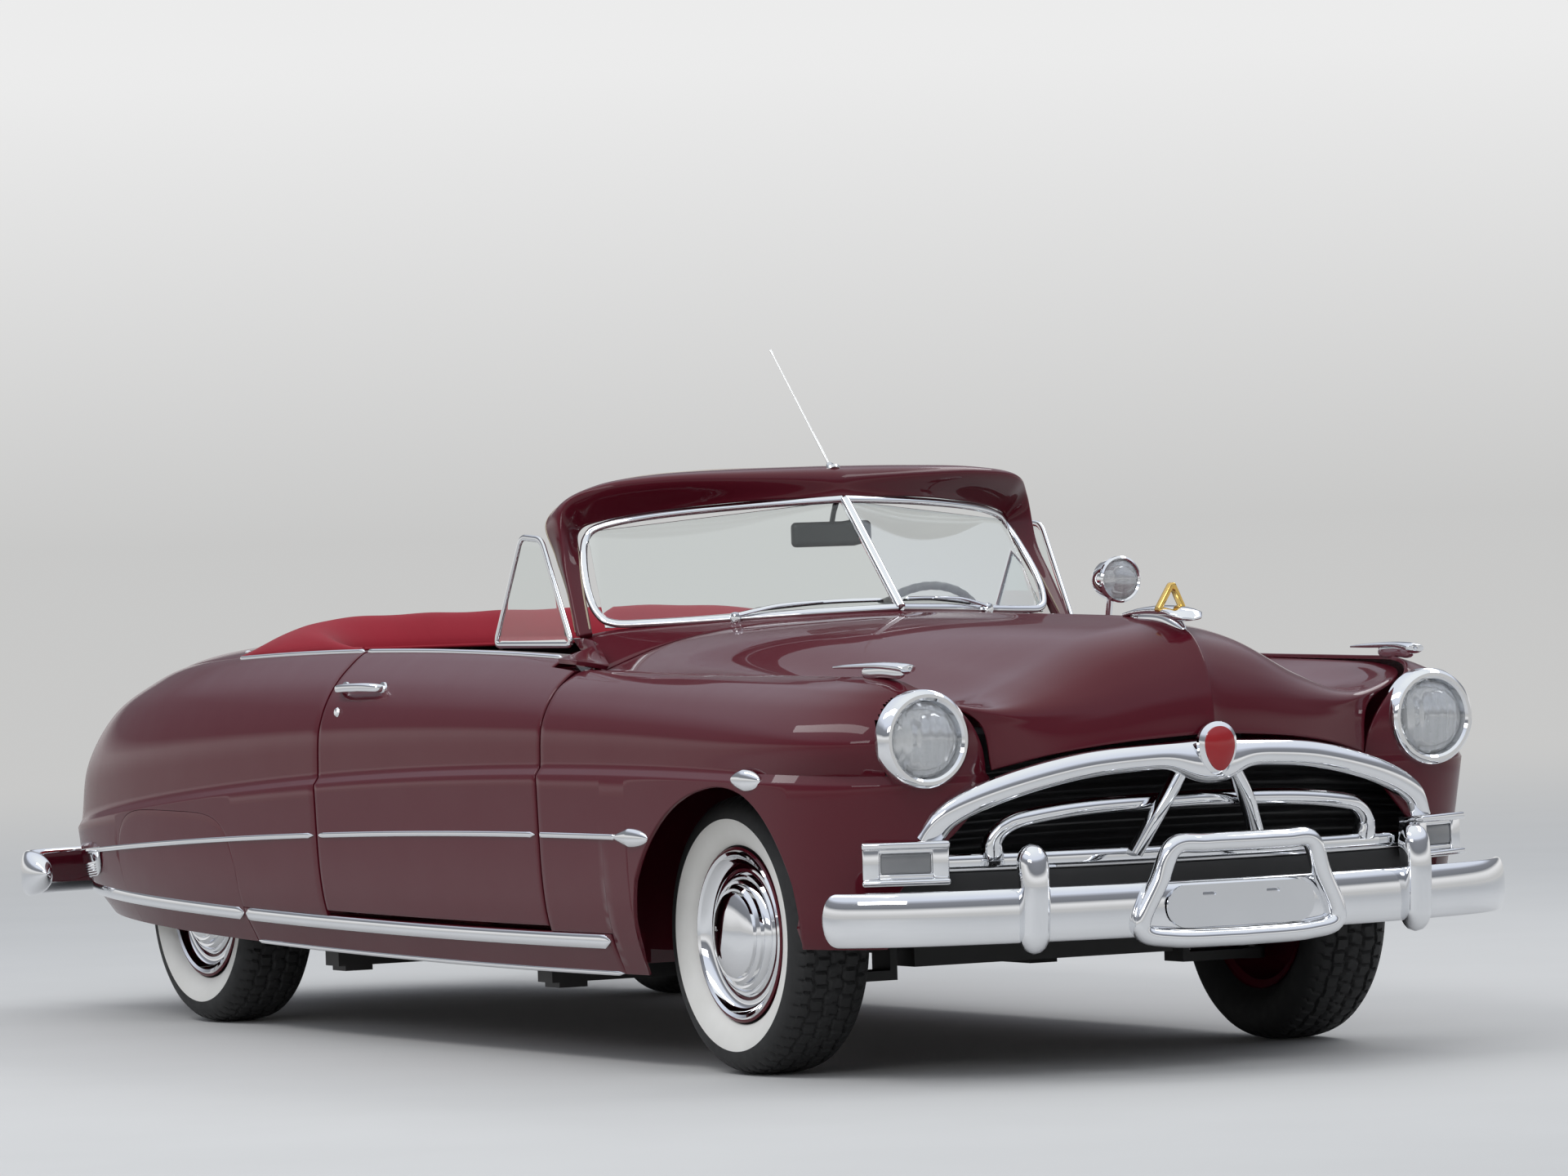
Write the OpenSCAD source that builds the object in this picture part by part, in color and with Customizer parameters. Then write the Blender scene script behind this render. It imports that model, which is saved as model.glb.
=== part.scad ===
// 1950s two-door convertible car with its top folded under a boot cover.
// Millimetres, +X forward, +Y to the car's left, +Z up, origin on the ground at mid length.

/* [Layout] */
// Distance between the axles
wheelbase = 3150; // [3050:10:3250]
// Front axle to the foremost point of the bumper loop
front_overhang = 1015; // [990:5:1060]
// Rear axle to the rearmost point of the rear bumper
rear_overhang = 1145; // [1120:5:1200]
// Half of the body's widest measure, at the lower crease
body_half_w = 978; // [970:1:990]
// Distance of the front tyres' middle planes from the body's widest line
front_inset = 240; // [232:1:250]
// Distance of the rear tyres' middle planes from the body's widest line
rear_inset = 273; // [262:1:284]

/* [Wheels] */
// Outer radius of a tyre
tyre_r = 340; // [330:1:345]
// Width of a tyre across its sidewalls
tyre_w = 216; // [205:1:222]
// Radius of the hub bore on the spindle
hub_r = 17; // [14:0.5:20]

/* [Body] */
// Thickness of a pressed panel with its flanges
skin_t = 10; // [8:0.5:12]
// Thickness of a whole door with its trim
door_t = 112; // [105:1:116]
// Gap round the doors, the hood and the deck lid
panel_gap = 8; // [7:0.5:10]
// Height of the floor's upper face
floor_z = 257; // [250:1:265]
// Thickness of the floor and bulkhead sheets
sheet_t = 12; // [8:1:16]
// Clearance between a piece and what carries it
seat_gap = 0.3; // [0.2:0.05:0.5]

/* [Front] */
// Height of the bumper bars' middle line
bumper_z = 398; // [385:1:410]
// Height of a bumper bar
bumper_h = 128; // [110:1:140]
// Radius of a headlamp rim
headlamp_r = 118; // [110:1:122]
// Height of the headlamps' middle
headlamp_z = 814; // [805:1:822]

/* [Cabin] */
// Radius of the steering wheel's rim
steering_r = 215; // [200:1:225]
// Rake of the steering column above the horizontal
column_rake = 27; // [22:1:32]

/* [Hidden] */
$fn = 48;

maroon = [0.23, 0.045, 0.06];
chrome = [0.8, 0.81, 0.83];
black = [0.06, 0.06, 0.065];
steel = [0.35, 0.35, 0.37];

overall_l = front_overhang + wheelbase + rear_overhang;
front_axle_x = overall_l / 2 - front_overhang;
rear_axle_x = front_axle_x - wheelbase;
axle_z = tyre_r;
rim_r = tyre_r * 209 / 340;

// Datum of the tables of the nose and the cabin, and the factors that stretch them with the body
cabin_x = front_axle_x - 1640;
wide = body_half_w / 978;
long = wheelbase / 3150;
front_track = 2 * (body_half_w - front_inset * wide);
rear_track = 2 * (body_half_w - rear_inset * wide);
headlamp_y = 710 * wide;

// Where the side panels meet: fender to door, door to rear body
fender_x = front_axle_x - 750;
quarter_x = fender_x - 1290 * long;
stern_x = quarter_x + 340 * long;
tail_x = rear_axle_x - 890;

function placed(p) = [cabin_x + p[0], wide * p[1], p[2]];

// Body side as stacked levels, from the sill's lower edge up to the belt and the front fender's crown.
// Columns: height at the front axle, at the door's rear edge and at the tail, inset from the widest line,
// reach ahead of the front axle, reach behind the rear axle, squareness of the front corner.
LOW_LEVELS = [
    [238, 238, 300, 75, 640, 960, 6],
    [340, 335, 385, 32, 705, 1040, 6],
    [470, 460, 450, 10, 730, 1062, 6],
    [722, 680, 512, 0, 742, 1070, 7]
];
HIGH_LEVELS = [
    [744, 700, 534, 14, 740, 1066, 7],
    [835, 830, 690, 22, 738, 1020, 10],
    [908, 930, 830, 65, 728, 880, 10],
    [950, 1000, 905, 130, 700, 690, 12],
    [962, 1030, 935, 178, 672, 560, 14],
    [967, 1040, 940, 236, 655, 540, 14]
];
LOW_TOP = len(LOW_LEVELS) - 1;
HIGH_BASE = LOW_TOP + 1;
BELT = 8;
TAIL_POWER = 4.7;

// Smooth curve through a list of numbers or points, at parameter t counted in list steps
function spline(list, t) =
    let (
        n = len(list) - 1,
        i = min(max(floor(t), 0), n - 1),
        f = t - i,
        b = list[i],
        c = list[i + 1],
        a = i > 0 ? list[i - 1] : 2 * b - c,
        d = i < n - 1 ? list[i + 2] : 2 * c - b
    )
    b + f * (c - a) / 2 + f * f * (a - 2.5 * b + 2 * c - d / 2)
    + f * f * f * (1.5 * b - a / 2 - 1.5 * c + d / 2);

function unit(v) = v / max(norm(v), 1e-9);
function flip_y(p) = [p[0], -p[1], p[2]];

// Row of the side's table at level v; levels 0 to 3 are below the crease, 4 to 9 above it
function level_row(v) =
    v <= LOW_TOP ? spline(LOW_LEVELS, v)
    : v >= HIGH_BASE ? spline(HIGH_LEVELS, v - HIGH_BASE)
    : LOW_LEVELS[LOW_TOP] + (v - LOW_TOP) * (HIGH_LEVELS[0] - LOW_LEVELS[LOW_TOP]);

// Height of a level at x: the parabola through its three heights
function level_z(x, row) =
    let (a = front_axle_x, b = quarter_x, c = tail_x)
    row[0] * (x - b) * (x - c) / ((a - b) * (a - c))
    + row[1] * (x - a) * (x - c) / ((b - a) * (b - c))
    + row[2] * (x - a) * (x - b) / ((c - a) * (c - b));

function level_w(row) = body_half_w - row[3];
function bow_l(row) = front_axle_x + row[4] - fender_x;
function stern_l(row) = stern_x - rear_axle_x + row[5];

// Height of the rounded corner |s|^p + |c|^p = 1 at s
function rounded(s, p) = pow(max(1 - pow(s, p), 0), 1 / p);

// Half width at x on a level: straight beside the doors, rounded off to both ends
function level_y(x, row) =
    x > fender_x ? level_w(row) * rounded((x - fender_x) / bow_l(row), row[6])
    : x < stern_x ? level_w(row) * rounded((stern_x - x) / stern_l(row), TAIL_POWER)
    : level_w(row);

function side_point(x, v) = let (row = level_row(v)) [x, level_y(x, row), level_z(x, row)];

// Level whose height at x is z
function level_of(x, z) =
    lookup(z, [for (v = [0 : BELT]) [level_z(x, level_row(v)), v]]);

// Point on a rounded corner: the ray at angle a meets the curve |s|^p + |c|^p = 1
function corner(a, p) =
    let (r = pow(pow(abs(sin(a)), p) + pow(abs(cos(a)), p), 1 / p)) [sin(a) / r, cos(a) / r];
function corner_angle_y(s, p) = atan2(rounded(s, p), s);
function corner_angle_x(t, p) = atan2(t, rounded(t, p));

// Solid between an outer grid of points and its copy moved in by t along the normals
function grid_normal(g, i, j) =
    let (
        n = len(g) - 1,
        m = len(g[0]) - 1,
        du = g[min(i + 1, n)][j] - g[max(i - 1, 0)][j],
        dv = g[i][min(j + 1, m)] - g[i][max(j - 1, 0)]
    )
    unit(cross(du, dv));
function moved_in(g, t) =
    [for (i = [0 : len(g) - 1]) [for (j = [0 : len(g[0]) - 1]) g[i][j] - t * grid_normal(g, i, j)]];
function flat(g) = [for (row = g) for (p = row) p];
function quad(a, b, c, d) = [[a, b, c], [a, c, d]];

module shell_between(outer, inner) {
    n = len(outer);
    m = len(outer[0]);
    k = n * m;
    function at(i, j) = i * m + j;
    faces = [
        for (i = [0 : n - 2]) for (j = [0 : m - 2])
            each quad(at(i, j), at(i, j + 1), at(i + 1, j + 1), at(i + 1, j)),
        for (i = [0 : n - 2]) for (j = [0 : m - 2])
            each quad(k + at(i, j), k + at(i + 1, j), k + at(i + 1, j + 1), k + at(i, j + 1)),
        for (i = [0 : n - 2]) each quad(at(i, 0), at(i + 1, 0), k + at(i + 1, 0), k + at(i, 0)),
        for (j = [0 : m - 2])
            each quad(at(n - 1, j), at(n - 1, j + 1), k + at(n - 1, j + 1), k + at(n - 1, j)),
        for (i = [n - 1 : -1 : 1])
            each quad(at(i, m - 1), at(i - 1, m - 1), k + at(i - 1, m - 1), k + at(i, m - 1)),
        for (j = [m - 1 : -1 : 1]) each quad(at(0, j), at(0, j - 1), k + at(0, j - 1), k + at(0, j))
    ];
    polyhedron(concat(flat(outer), flat(inner)), faces, convexity = 8);
}

module shell(outer, t) shell_between(outer, moved_in(outer, t));

// Bar of a given section carried along a path; the section's first axis points to the path's right,
// its second one up
module sweep(path, section, up = [0, 0, 1], closed = false) {
    n = len(path);
    m = len(section);
    function tangent(i) =
        closed ? unit(path[(i + 1) % n] - path[(i + n - 1) % n])
        : unit(path[min(i + 1, n - 1)] - path[max(i - 1, 0)]);
    points = [
        for (i = [0 : n - 1])
            let (t = tangent(i), side = unit(cross(t, up)), top = cross(side, t))
            for (q = section) path[i] + q[0] * side + q[1] * top
    ];
    faces = [
        for (i = [0 : n - (closed ? 1 : 2)]) for (j = [0 : m - 1])
            each quad(
                i * m + j, i * m + (j + 1) % m, ((i + 1) % n) * m + (j + 1) % m, ((i + 1) % n) * m + j
            ),
        if (!closed) [for (j = [m - 1 : -1 : 0]) j],
        if (!closed) [for (j = [0 : m - 1]) (n - 1) * m + j]
    ];
    polyhedron(points, faces, convexity = 8);
}

// Oval section of width w and height h with its corners at exponent p
function oval(w, h, sides = 10, p = 2.6) =
    [for (k = [0 : sides - 1])
        let (a = 360 * k / sides, r = pow(pow(abs(cos(a)), p) + pow(abs(sin(a)), p), -1 / p))
        [w / 2 * r * cos(a), h / 2 * r * sin(a)]];

module both_sides() {
    children();
    mirror([0, 1, 0]) children();
}

module box(low, high) translate(low) cube(high - low);

// Front fender: side, headlamp pod and front face in one pressing, with the wheel arch left open
arch_x = front_axle_x + 85;
arch_r = 372;
arch_foot_z = 330;
arch_rise = 366;
ARCH_LEAN = 0.18;
ARCH_POWER = 2.3;
apron_z = 322;
sill_front_x = fender_x + 335;
sill_gap = 0.8;
// Inner edge of the fender's front face at each level, from the sill up
FACE_EDGE = wide * [770, 752, 742, 534, 531, 549, 596, 655, 692, 716];
pod_curl = 28;
pod_curl_y = 640 * wide;

function arch_z(x) =
    let (t = (x - arch_x) / arch_r, s = pow(max(1 - pow(abs(t), ARCH_POWER), 0), 1 / ARCH_POWER))
    arch_foot_z + s * (arch_rise + ARCH_LEAN * (x - arch_x));
function fender_foot(x) =
    x < sill_front_x ? level_z(x, level_row(1)) + sill_gap
    : x < arch_x - arch_r + 0.01 ? level_z(x, level_row(0))
    : x < arch_x + arch_r ? max(arch_z(x), apron_z)
    : apron_z;

// Fender point at corner angle a on level v, with the pod's inner side curled back to the hood
function fender_point(a, v) =
    let (
        row = level_row(v),
        q = corner(a, row[6]),
        y = level_w(row) * q[1],
        curl = v < LOW_TOP ? 0 : pod_curl * pow(max(pod_curl_y - y, 0) / (pod_curl_y - FACE_EDGE[LOW_TOP]), 2),
        x = fender_x + bow_l(row) * q[0] - curl
    )
    [x, y, row[0] + (level_z(x, row) - row[0]) * (v < 6 ? 1 : 1 - 0.3 * (v - 6))];

// Columns of the fender's grid: stations along the side, then shares of the way round the front
FENDER_SIDE = [
    for (x = [fender_x, fender_x + 170, sill_front_x - 2, sill_front_x + 2])
        (x - fender_x) / bow_l(LOW_LEVELS[2]),
    for (k = [0 : 10]) (arch_x - arch_r * cos(18 * k) - fender_x) / bow_l(LOW_LEVELS[2])
];
FENDER_FRONT = [0.12, 0.25, 0.4, 0.55, 0.7, 0.85, 1];
FENDER_HIGH = [4, 4.5, 5, 5.5, 6, 6.5, 7, 7.5, 8, 9];
FENDER_LOW = [0, 0.2, 0.45, 0.7, 0.9, 1];

function fender_angle(c, v) =
    let (
        row = level_row(v),
        last = corner_angle_x(FENDER_SIDE[len(FENDER_SIDE) - 1], row[6]),
        edge = corner_angle_y(spline(FACE_EDGE, v) / level_w(row), row[6])
    )
    c < len(FENDER_SIDE) ? corner_angle_x(FENDER_SIDE[c], row[6])
    : last + FENDER_FRONT[c - len(FENDER_SIDE)] * (max(edge, last + 2) - last);

function fender_grid() =
    [for (c = [0 : len(FENDER_SIDE) + len(FENDER_FRONT) - 1])
        let (x = fender_point(fender_angle(c, 2), 2)[0], low = level_of(x, fender_foot(x)))
        concat(
            [for (r = FENDER_LOW) let (v = low + r * (LOW_TOP - low)) fender_point(fender_angle(c, v), v)],
            [for (v = FENDER_HIGH) fender_point(fender_angle(c, v), v)]
        )];

module fender_solid() {
    color(maroon) difference() {
        mirror([0, 1, 0]) shell([for (row = fender_grid()) [for (p = row) flip_y(p)]], skin_t);
        translate([front_axle_x + 560, headlamp_y, headlamp_z]) rotate([0, 90, 0])
            cylinder(r = headlamp_r + seat_gap, h = 400);
    }
}
module front_fender_left() fender_solid();
module front_fender_right() mirror([0, 1, 0]) fender_solid();

// Doors: one slab each, from the sill's moulding up to the belt
door_front_x = fender_x - panel_gap - 1;
door_rear_x = quarter_x + panel_gap;
door_shoulder_x = fender_x - 138;
door_bevel = 44;
DOOR_LEVELS = [1.12, 1.5, 2, 2.5, 3, 4, 4.6, 5.2, 5.8, 6.4, 6.84, 6.95, 7.5, 8];
DOOR_SHARES = [0, 0.16, 0.34, 0.5, 0.68, 0.84, 1];
function door_front_at(v) = v > 6.9 ? door_shoulder_x : door_front_x;
function door_depth(v) = v < 6 ? door_t : door_t * (1 - 0.2 * (v - 6));

function door_grid(inner) =
    [for (s = DOOR_SHARES)
        [for (v = DOOR_LEVELS)
            let (
                bevel = inner ? door_bevel : 0,
                a = door_front_at(v) - bevel,
                b = door_rear_x + bevel,
                p = side_point(a + s * (b - a), v)
            )
            inner ? [p[0], p[1] - door_depth(v), p[2]] : p]];

hinge_x = fender_x + 40;
hinge_y = body_half_w - 33;
hinge_pin_r = 4;
hinge_barrel_r = 8;
hinge_h = 40;
DOOR_HINGES = [520, 650];
run_gap = 0.05;

// Gooseneck strap: inboard of the fender's edge first, then back to the door
module hinge_strap(z) {
    neck = [45, 77];
    translate([hinge_x, hinge_y, z]) difference() {
        union() {
            cylinder(r = hinge_barrel_r, h = hinge_h, center = true);
            rotate([0, 0, 180 + atan2(neck[1], neck[0])])
                translate([0, -5, -hinge_h / 2]) cube([norm(neck), 10, hinge_h]);
            translate([-neck[0] - 62, -neck[1] - 8, -hinge_h / 2]) cube([67, 16, hinge_h]);
        }
        cylinder(r = hinge_pin_r + run_gap, h = hinge_h + 2, center = true);
    }
}

module door_solid() {
    color(maroon) {
        shell_between(door_grid(false), door_grid(true));
        for (z = DOOR_HINGES) hinge_strap(z);
    }
}
module door_left() door_solid();
module door_right() mirror([0, 1, 0]) door_solid();

// Pivoting vent panes in their frames, standing on the doors' belt
vent_y = 738;
vent_t = 8;
VENT = [[222, 1036], [664, 1036], [507, 1318], [390, 1326]];
module vent_solid() {
    color(chrome) translate([cabin_x, wide * vent_y + vent_t, 0]) rotate([90, 0, 0]) linear_extrude(vent_t)
        polygon(VENT);
}
module vent_window_left() vent_solid();
module vent_window_right() mirror([0, 1, 0]) vent_solid();

// Rear quarters: from the door to the tail's corner, with the deck's side and the skirt's opening
skirt_front_x = rear_axle_x + 586;
skirt_rear_x = rear_axle_x - 250;
skirt_top_z = 598;
tail_y = 568 * wide;
deck_x = rear_axle_x + 210;
deck_lift = 32;
deck_crown = 20;
lid_level = 4.66;
QUARTER_SIDE = concat(
    [for (k = [0 : 3]) quarter_x + (skirt_front_x - quarter_x) * k / 4],
    [for (k = [0 : 8])
        (skirt_front_x + skirt_rear_x) / 2 + (skirt_front_x - skirt_rear_x) / 2 * cos(22.5 * k)],
    [skirt_rear_x - 110, skirt_rear_x - 220]
);
QUARTER_BACK = [0.15, 0.32, 0.5, 0.68, 0.85, 1];
QUARTER_LOW = [0, 0.3, 0.6, 0.85, 1];
QUARTER_HIGH = [4, 4.33, 4.66, 5, 5.5, 6, 6.5, 7, 7.5, 8];

function skirt_z(x) =
    let (t = (x - (skirt_front_x + skirt_rear_x) / 2) / ((skirt_front_x - skirt_rear_x) / 2))
    let (base = level_z(x, level_row(0)))
    base + (skirt_top_z - base) * pow(max(1 - pow(abs(t), 5), 0), 1 / 5);
function quarter_foot(x) =
    x > skirt_front_x - 1 ? level_z(x, level_row(1)) + sill_gap
    : x > skirt_rear_x + 1 ? skirt_z(x)
    : level_z(x, level_row(0));

// Point at corner angle a behind the doors on level v
function stern_point(a, v) =
    let (row = level_row(v), q = corner(a, TAIL_POWER), x = stern_x - stern_l(row) * q[0])
    [x, level_w(row) * q[1], level_z(x, row)];
// Point on level v at a given distance from the middle plane
function tail_point(y, v) =
    let (row = level_row(v), x = stern_x - stern_l(row) * rounded(abs(y) / level_w(row), TAIL_POWER))
    [x, y, level_z(x, row)];

lid_corner_x = tail_point(tail_y, BELT)[0];
function deck_share(x) = min(max((deck_x - x) / (deck_x - lid_corner_x), 0), 1);
function deck_z(x) = level_z(x, level_row(BELT)) + deck_lift * (1 - pow(deck_share(x), 2));

function quarter_point(c, v) =
    c < len(QUARTER_SIDE) ? side_point(QUARTER_SIDE[c], v)
    : let (
        row = level_row(v),
        first = corner_angle_x((stern_x - QUARTER_SIDE[len(QUARTER_SIDE) - 1]) / stern_l(row), TAIL_POWER),
        last = corner_angle_y(tail_y / level_w(row), TAIL_POWER),
        f = QUARTER_BACK[c - len(QUARTER_SIDE)]
    )
    stern_point(first + f * (last - first), v);
function quarter_grid() =
    [for (c = [0 : len(QUARTER_SIDE) + len(QUARTER_BACK) - 1])
        let (
            x = c < len(QUARTER_SIDE) ? QUARTER_SIDE[c] : quarter_point(c, 2)[0],
            low = level_of(x, quarter_foot(x))
        )
        concat(
            [for (r = QUARTER_LOW) quarter_point(c, low + r * (LOW_TOP - low))],
            [for (v = QUARTER_HIGH) quarter_point(c, v)]
        )];

// Deck beside the lid, in one piece with the quarter
DECK_SIDE = [for (k = [0 : 7]) deck_x + 58 + (lid_corner_x + 6 - deck_x - 58) * k / 7];
function deck_side_grid() =
    [for (x = DECK_SIDE)
        let (q = side_point(x, BELT - 0.1) - [0, 0, 2.5], e = [x, tail_y, deck_z(x)])
        [q, (2 * q + e) / 3 + [0, 0, 4], (q + 2 * e) / 3 + [0, 0, 3], e]];

module quarter_solid() {
    color(maroon) {
        shell(quarter_grid(), skin_t);
        shell(deck_side_grid(), skin_t);
    }
}
function reversed_rows(g) = [for (i = [len(g) - 1 : -1 : 0]) g[i]];
module rear_quarter_left() quarter_solid();
module rear_quarter_right() mirror([0, 1, 0]) quarter_solid();

// Tail panel below the deck lid, between the quarters
TAIL_SHARES = [-1, -0.75, -0.5, -0.25, 0, 0.25, 0.5, 0.75, 1];
TAIL_LEVELS = [0, 0.5, 1, 2, 3, 4, 4.33, 4.6];
module tail_panel() {
    color(maroon) difference() {
        shell([for (s = TAIL_SHARES) [for (v = TAIL_LEVELS) tail_point(-s * (tail_y - 4.5), v)]], skin_t);
        both_sides() bumper_bracket(rear_axle_x - 1100, rear_axle_x - 880, 420, 469.7, seat_gap);
    }
}

// Strip of the deck between the boot cover and the lid, on two posts of the rear bulkhead
DECK_SHARES = [-1, -0.6, -0.25, 0, 0.25, 0.6, 1];
module deck_panel() {
    y_edge = tail_y - 5;
    color(maroon) {
        shell([for (s = DECK_SHARES) [for (x = [deck_x + 62, deck_x + panel_gap + 5])
            let (y = -s * y_edge)
            [x, y, level_z(x, level_row(BELT)) + deck_lift + deck_crown * (1 - pow(y / tail_y, 2))]]], skin_t);
        both_sides() translate([lid_hinge_x + 1, 500 * wide, bulkhead_top + seat_gap]) {
            cube([11, 30, 1032 - bulkhead_top - seat_gap]);
            cube([33, 30, 12 - seat_gap]);
        }
    }
}

// Skirts over the rear wheels
SKIRT_LOW = [0, 0.25, 0.5, 0.75, 1];
module wheel_skirts() {
    xs = [for (k = [8 : -1 : 0]) QUARTER_SIDE[4 + k]];
    grid = [for (i = [0 : len(xs) - 1])
        let (
            x = xs[i] + (i == 0 ? 1.5 : i == len(xs) - 1 ? -1.5 : 0),
            top = max(level_of(x, skirt_z(x) - 1), 0.04)
        )
        [for (r = SKIRT_LOW) side_point(x, r * top)]];
    color(maroon) both_sides() shell(reversed_rows(grid), skin_t);
}

// Sills: from the front wheel's arch to the skirt
sill_inner_y = 850 * wide;
SILL_SHARES = [0, 0.25, 0.5, 0.75, 1];
SILL_LEVELS = [0, 0.35, 0.7, 1];
module sill_panels() {
    a = skirt_front_x + seat_gap;
    b = sill_front_x - 19;
    outer = [for (s = SILL_SHARES) [for (v = SILL_LEVELS) side_point(a + s * (b - a), v)]];
    inner = [for (row = outer) [for (p = row) [p[0], sill_inner_y, p[2]]]];
    color(maroon) both_sides() shell_between(reversed_columns(outer), reversed_columns(inner));
}
function reversed_columns(g) = [for (row = g) [for (j = [len(row) - 1 : -1 : 0]) row[j]]];

// Front apron behind the bumper, between the fenders' lower corners
apron_h = 66;
apron_low = 430.3;
apron_y = 735;
function apron_x(y) = front_axle_x + 772 - 145 * pow(abs(y) / apron_y, 2.2);
module front_apron() {
    z = apron_low + apron_h / 2;
    half = [for (k = [0 : 0.2 : 1]) [apron_x(apron_y * k), apron_y * wide * k, z]];
    strip = [[-8, -apron_h / 2], [8, -apron_h / 2], [8, apron_h / 2], [-8, apron_h / 2]];
    color(maroon) sweep(concat([for (i = [5 : -1 : 1]) flip_y(half[i])], half), strip);
}

// Grille: a wide arch under the hood's lip, a smaller one inside it, a low bar on the apron, two slanted
// legs and the housing of the crest, which stays blank. Points count from the front axle.
GRILLE_ARCH = [[700, 704, 606], [726, 648, 640], [772, 510, 696], [806, 330, 737], [838, 160, 752], [856, 0, 755]];
GRILLE_INNER = [[708, 522, 530], [716, 522, 572], [732, 492, 605], [752, 430, 624], [766, 270, 640], [778, 0, 647]];
GRILLE_LEG = [[838, 62, 736], [826, 115, 645], [784, 175, 526]];
GRILLE_CREST = [[-72, 762], [-44, 808], [0, 830], [44, 808], [72, 762], [46, 722], [0, 704], [-46, 722]];
crest_x = 880;
grille_bar_h = 44;
grille_bar_y = 632;
module grille() {
    low_z = apron_low + apron_h + seat_gap + grille_bar_h / 2;
    color(chrome) {
        arch(GRILLE_ARCH, oval(64, 50));
        arch(GRILLE_INNER, oval(36, 38));
        sweep([for (y = [-grille_bar_y : grille_bar_y / 4 : grille_bar_y]) [apron_x(y), wide * y, low_z]],
            oval(30, grille_bar_h));
        both_sides()
            sweep([for (q = GRILLE_LEG) [front_axle_x + q[0], q[1], q[2]]], oval(34, 44), up = [1, 0, 0]);
        translate([front_axle_x + crest_x, 0, 0]) rotate([90, 0, 90]) linear_extrude(20) polygon(GRILLE_CREST);
        translate([front_axle_x + crest_x - 36, -44, 724]) cube([40, 88, 62]);
    }
}
module arch(table, section) {
    half = [for (k = [0 : 10])
        let (p = spline(table, k / 2)) [front_axle_x + p[0], wide * p[1], p[2]]];
    sweep(concat(half, [for (k = [9 : -1 : 0]) flip_y(half[k])]), section, up = [1, 0, 0.2]);
}

// Hood: stations from the windshield's foot to the lip over the grille.
// Columns: x on the ridge, x at the fender's seam, half width there, how the station bends from the rear
// edge's V (0) to the nose's round (1), then heights at five equal shares from the ridge to the seam.
HOOD = [
    [1080, 819, 734, 0, 1097, 1091, 1076, 1042, 975],
    [1330, 1120, 734, 0.1, 1094, 1084, 1058, 1012, 962],
    [1700, 1560, 734, 0.4, 1089, 1066, 1005, 935, 958],
    [2120, 1995, 732, 0.8, 1080, 1042, 957, 889, 950],
    [2300, 2138, 731, 0.9, 1071, 1028, 944, 884, 942],
    [2405, 2231, 709, 1, 1040, 996, 922, 884, 928],
    [2464, 2300, 650, 1, 982, 944, 894, 874, 902],
    [2496, 2346, 545, 1, 900, 882, 854, 836, 848],
    [2507, 2360, 522, 1, 803, 797, 786, 766, 734]
];
HOOD_STEPS = 2;
HOOD_SHARES = [0, 0.12, 0.25, 0.38, 0.5, 0.62, 0.75, 0.87, 1];

function hood_point(k, t) =
    let (
        row = spline(HOOD, k),
        bend = row[3],
        g = (1 - bend) * (1 - pow(1 - t, 1.6)) + bend * pow(t, 1.7),
        z = spline([for (i = [4 : 8]) row[i]], 4 * t)
    )
    placed([row[0] + (row[1] - row[0]) * g, row[2] * t, z]);
function hood_row(k) =
    concat(
        [for (i = [len(HOOD_SHARES) - 1 : -1 : 1]) flip_y(hood_point(k, HOOD_SHARES[i]))],
        [for (t = HOOD_SHARES) hood_point(k, t)]
    );

hood_hinge_x = fender_x - 150;
hood_hinge_z = 1000;
hood_hinge_y = 600 * wide;
hood_pin_r = 5;
HOOD_ARM = [[-9, -8], [8, 3], [95, -78], [140, -78], [140, 22], [210, 16], [210, -110], [82, -110]];

module hood() {
    color(maroon) shell([for (k = [0 : 1 / HOOD_STEPS : len(HOOD) - 1]) hood_row(k)], 12);
    color(maroon) both_sides()
        translate([hood_hinge_x, hood_hinge_y + 12, hood_hinge_z]) rotate([90, 0, 0]) difference() {
            union() {
                linear_extrude(12) polygon(HOOD_ARM);
                cylinder(r = 11, h = 12);
            }
            translate([0, 0, -1]) cylinder(r = hood_pin_r + run_gap, h = 14);
        }
}

// Hood ornament: a long low fin with a raised triangular loop
ORNAMENT_LOOP = [[-34, 0], [-6, 62], [6, 62], [34, 0], [20, 0], [0, 46], [-20, 0]];
module hood_ornament() {
    color([0.8, 0.6, 0.2]) translate(hood_point(4.28, 0) + [0, 0, 6]) rotate([90, 0, 90])
        linear_extrude(24) polygon(ORNAMENT_LOOP);
    color(chrome)
        sweep([for (k = [0 : 6])
            let (p = hood_point(3 + k / 6 * 1.9, 0)) p + [0, 0, 9 + 8 * sin(30 * k)]], oval(34, 26, 8));
}

// Deck lid: the deck's top and the upper part of the tail in one panel
lid_y = tail_y - panel_gap - 3;
LID_TOP = [0, 0.17, 0.34, 0.5, 0.67, 0.84];
LID_BACK = [8, 7.5, 7, 6.5, 6, 5.5, 5, lid_level + 0.06];
LID_SHARES = [-1, -0.8, -0.6, -0.3, 0, 0.3, 0.6, 0.8, 1];
lid_bevel = 22;
lid_hinge_x = deck_x + 48;
lid_hinge_z = level_z(lid_hinge_x, level_row(BELT)) + 12.9000;
lid_hinge_y = 400 * wide;
LID_ARM = [[-9, 6], [9, -8], [-72, -96], [-160, -96], [-160, 8], [-92, 14], [-92, -62]];

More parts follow.
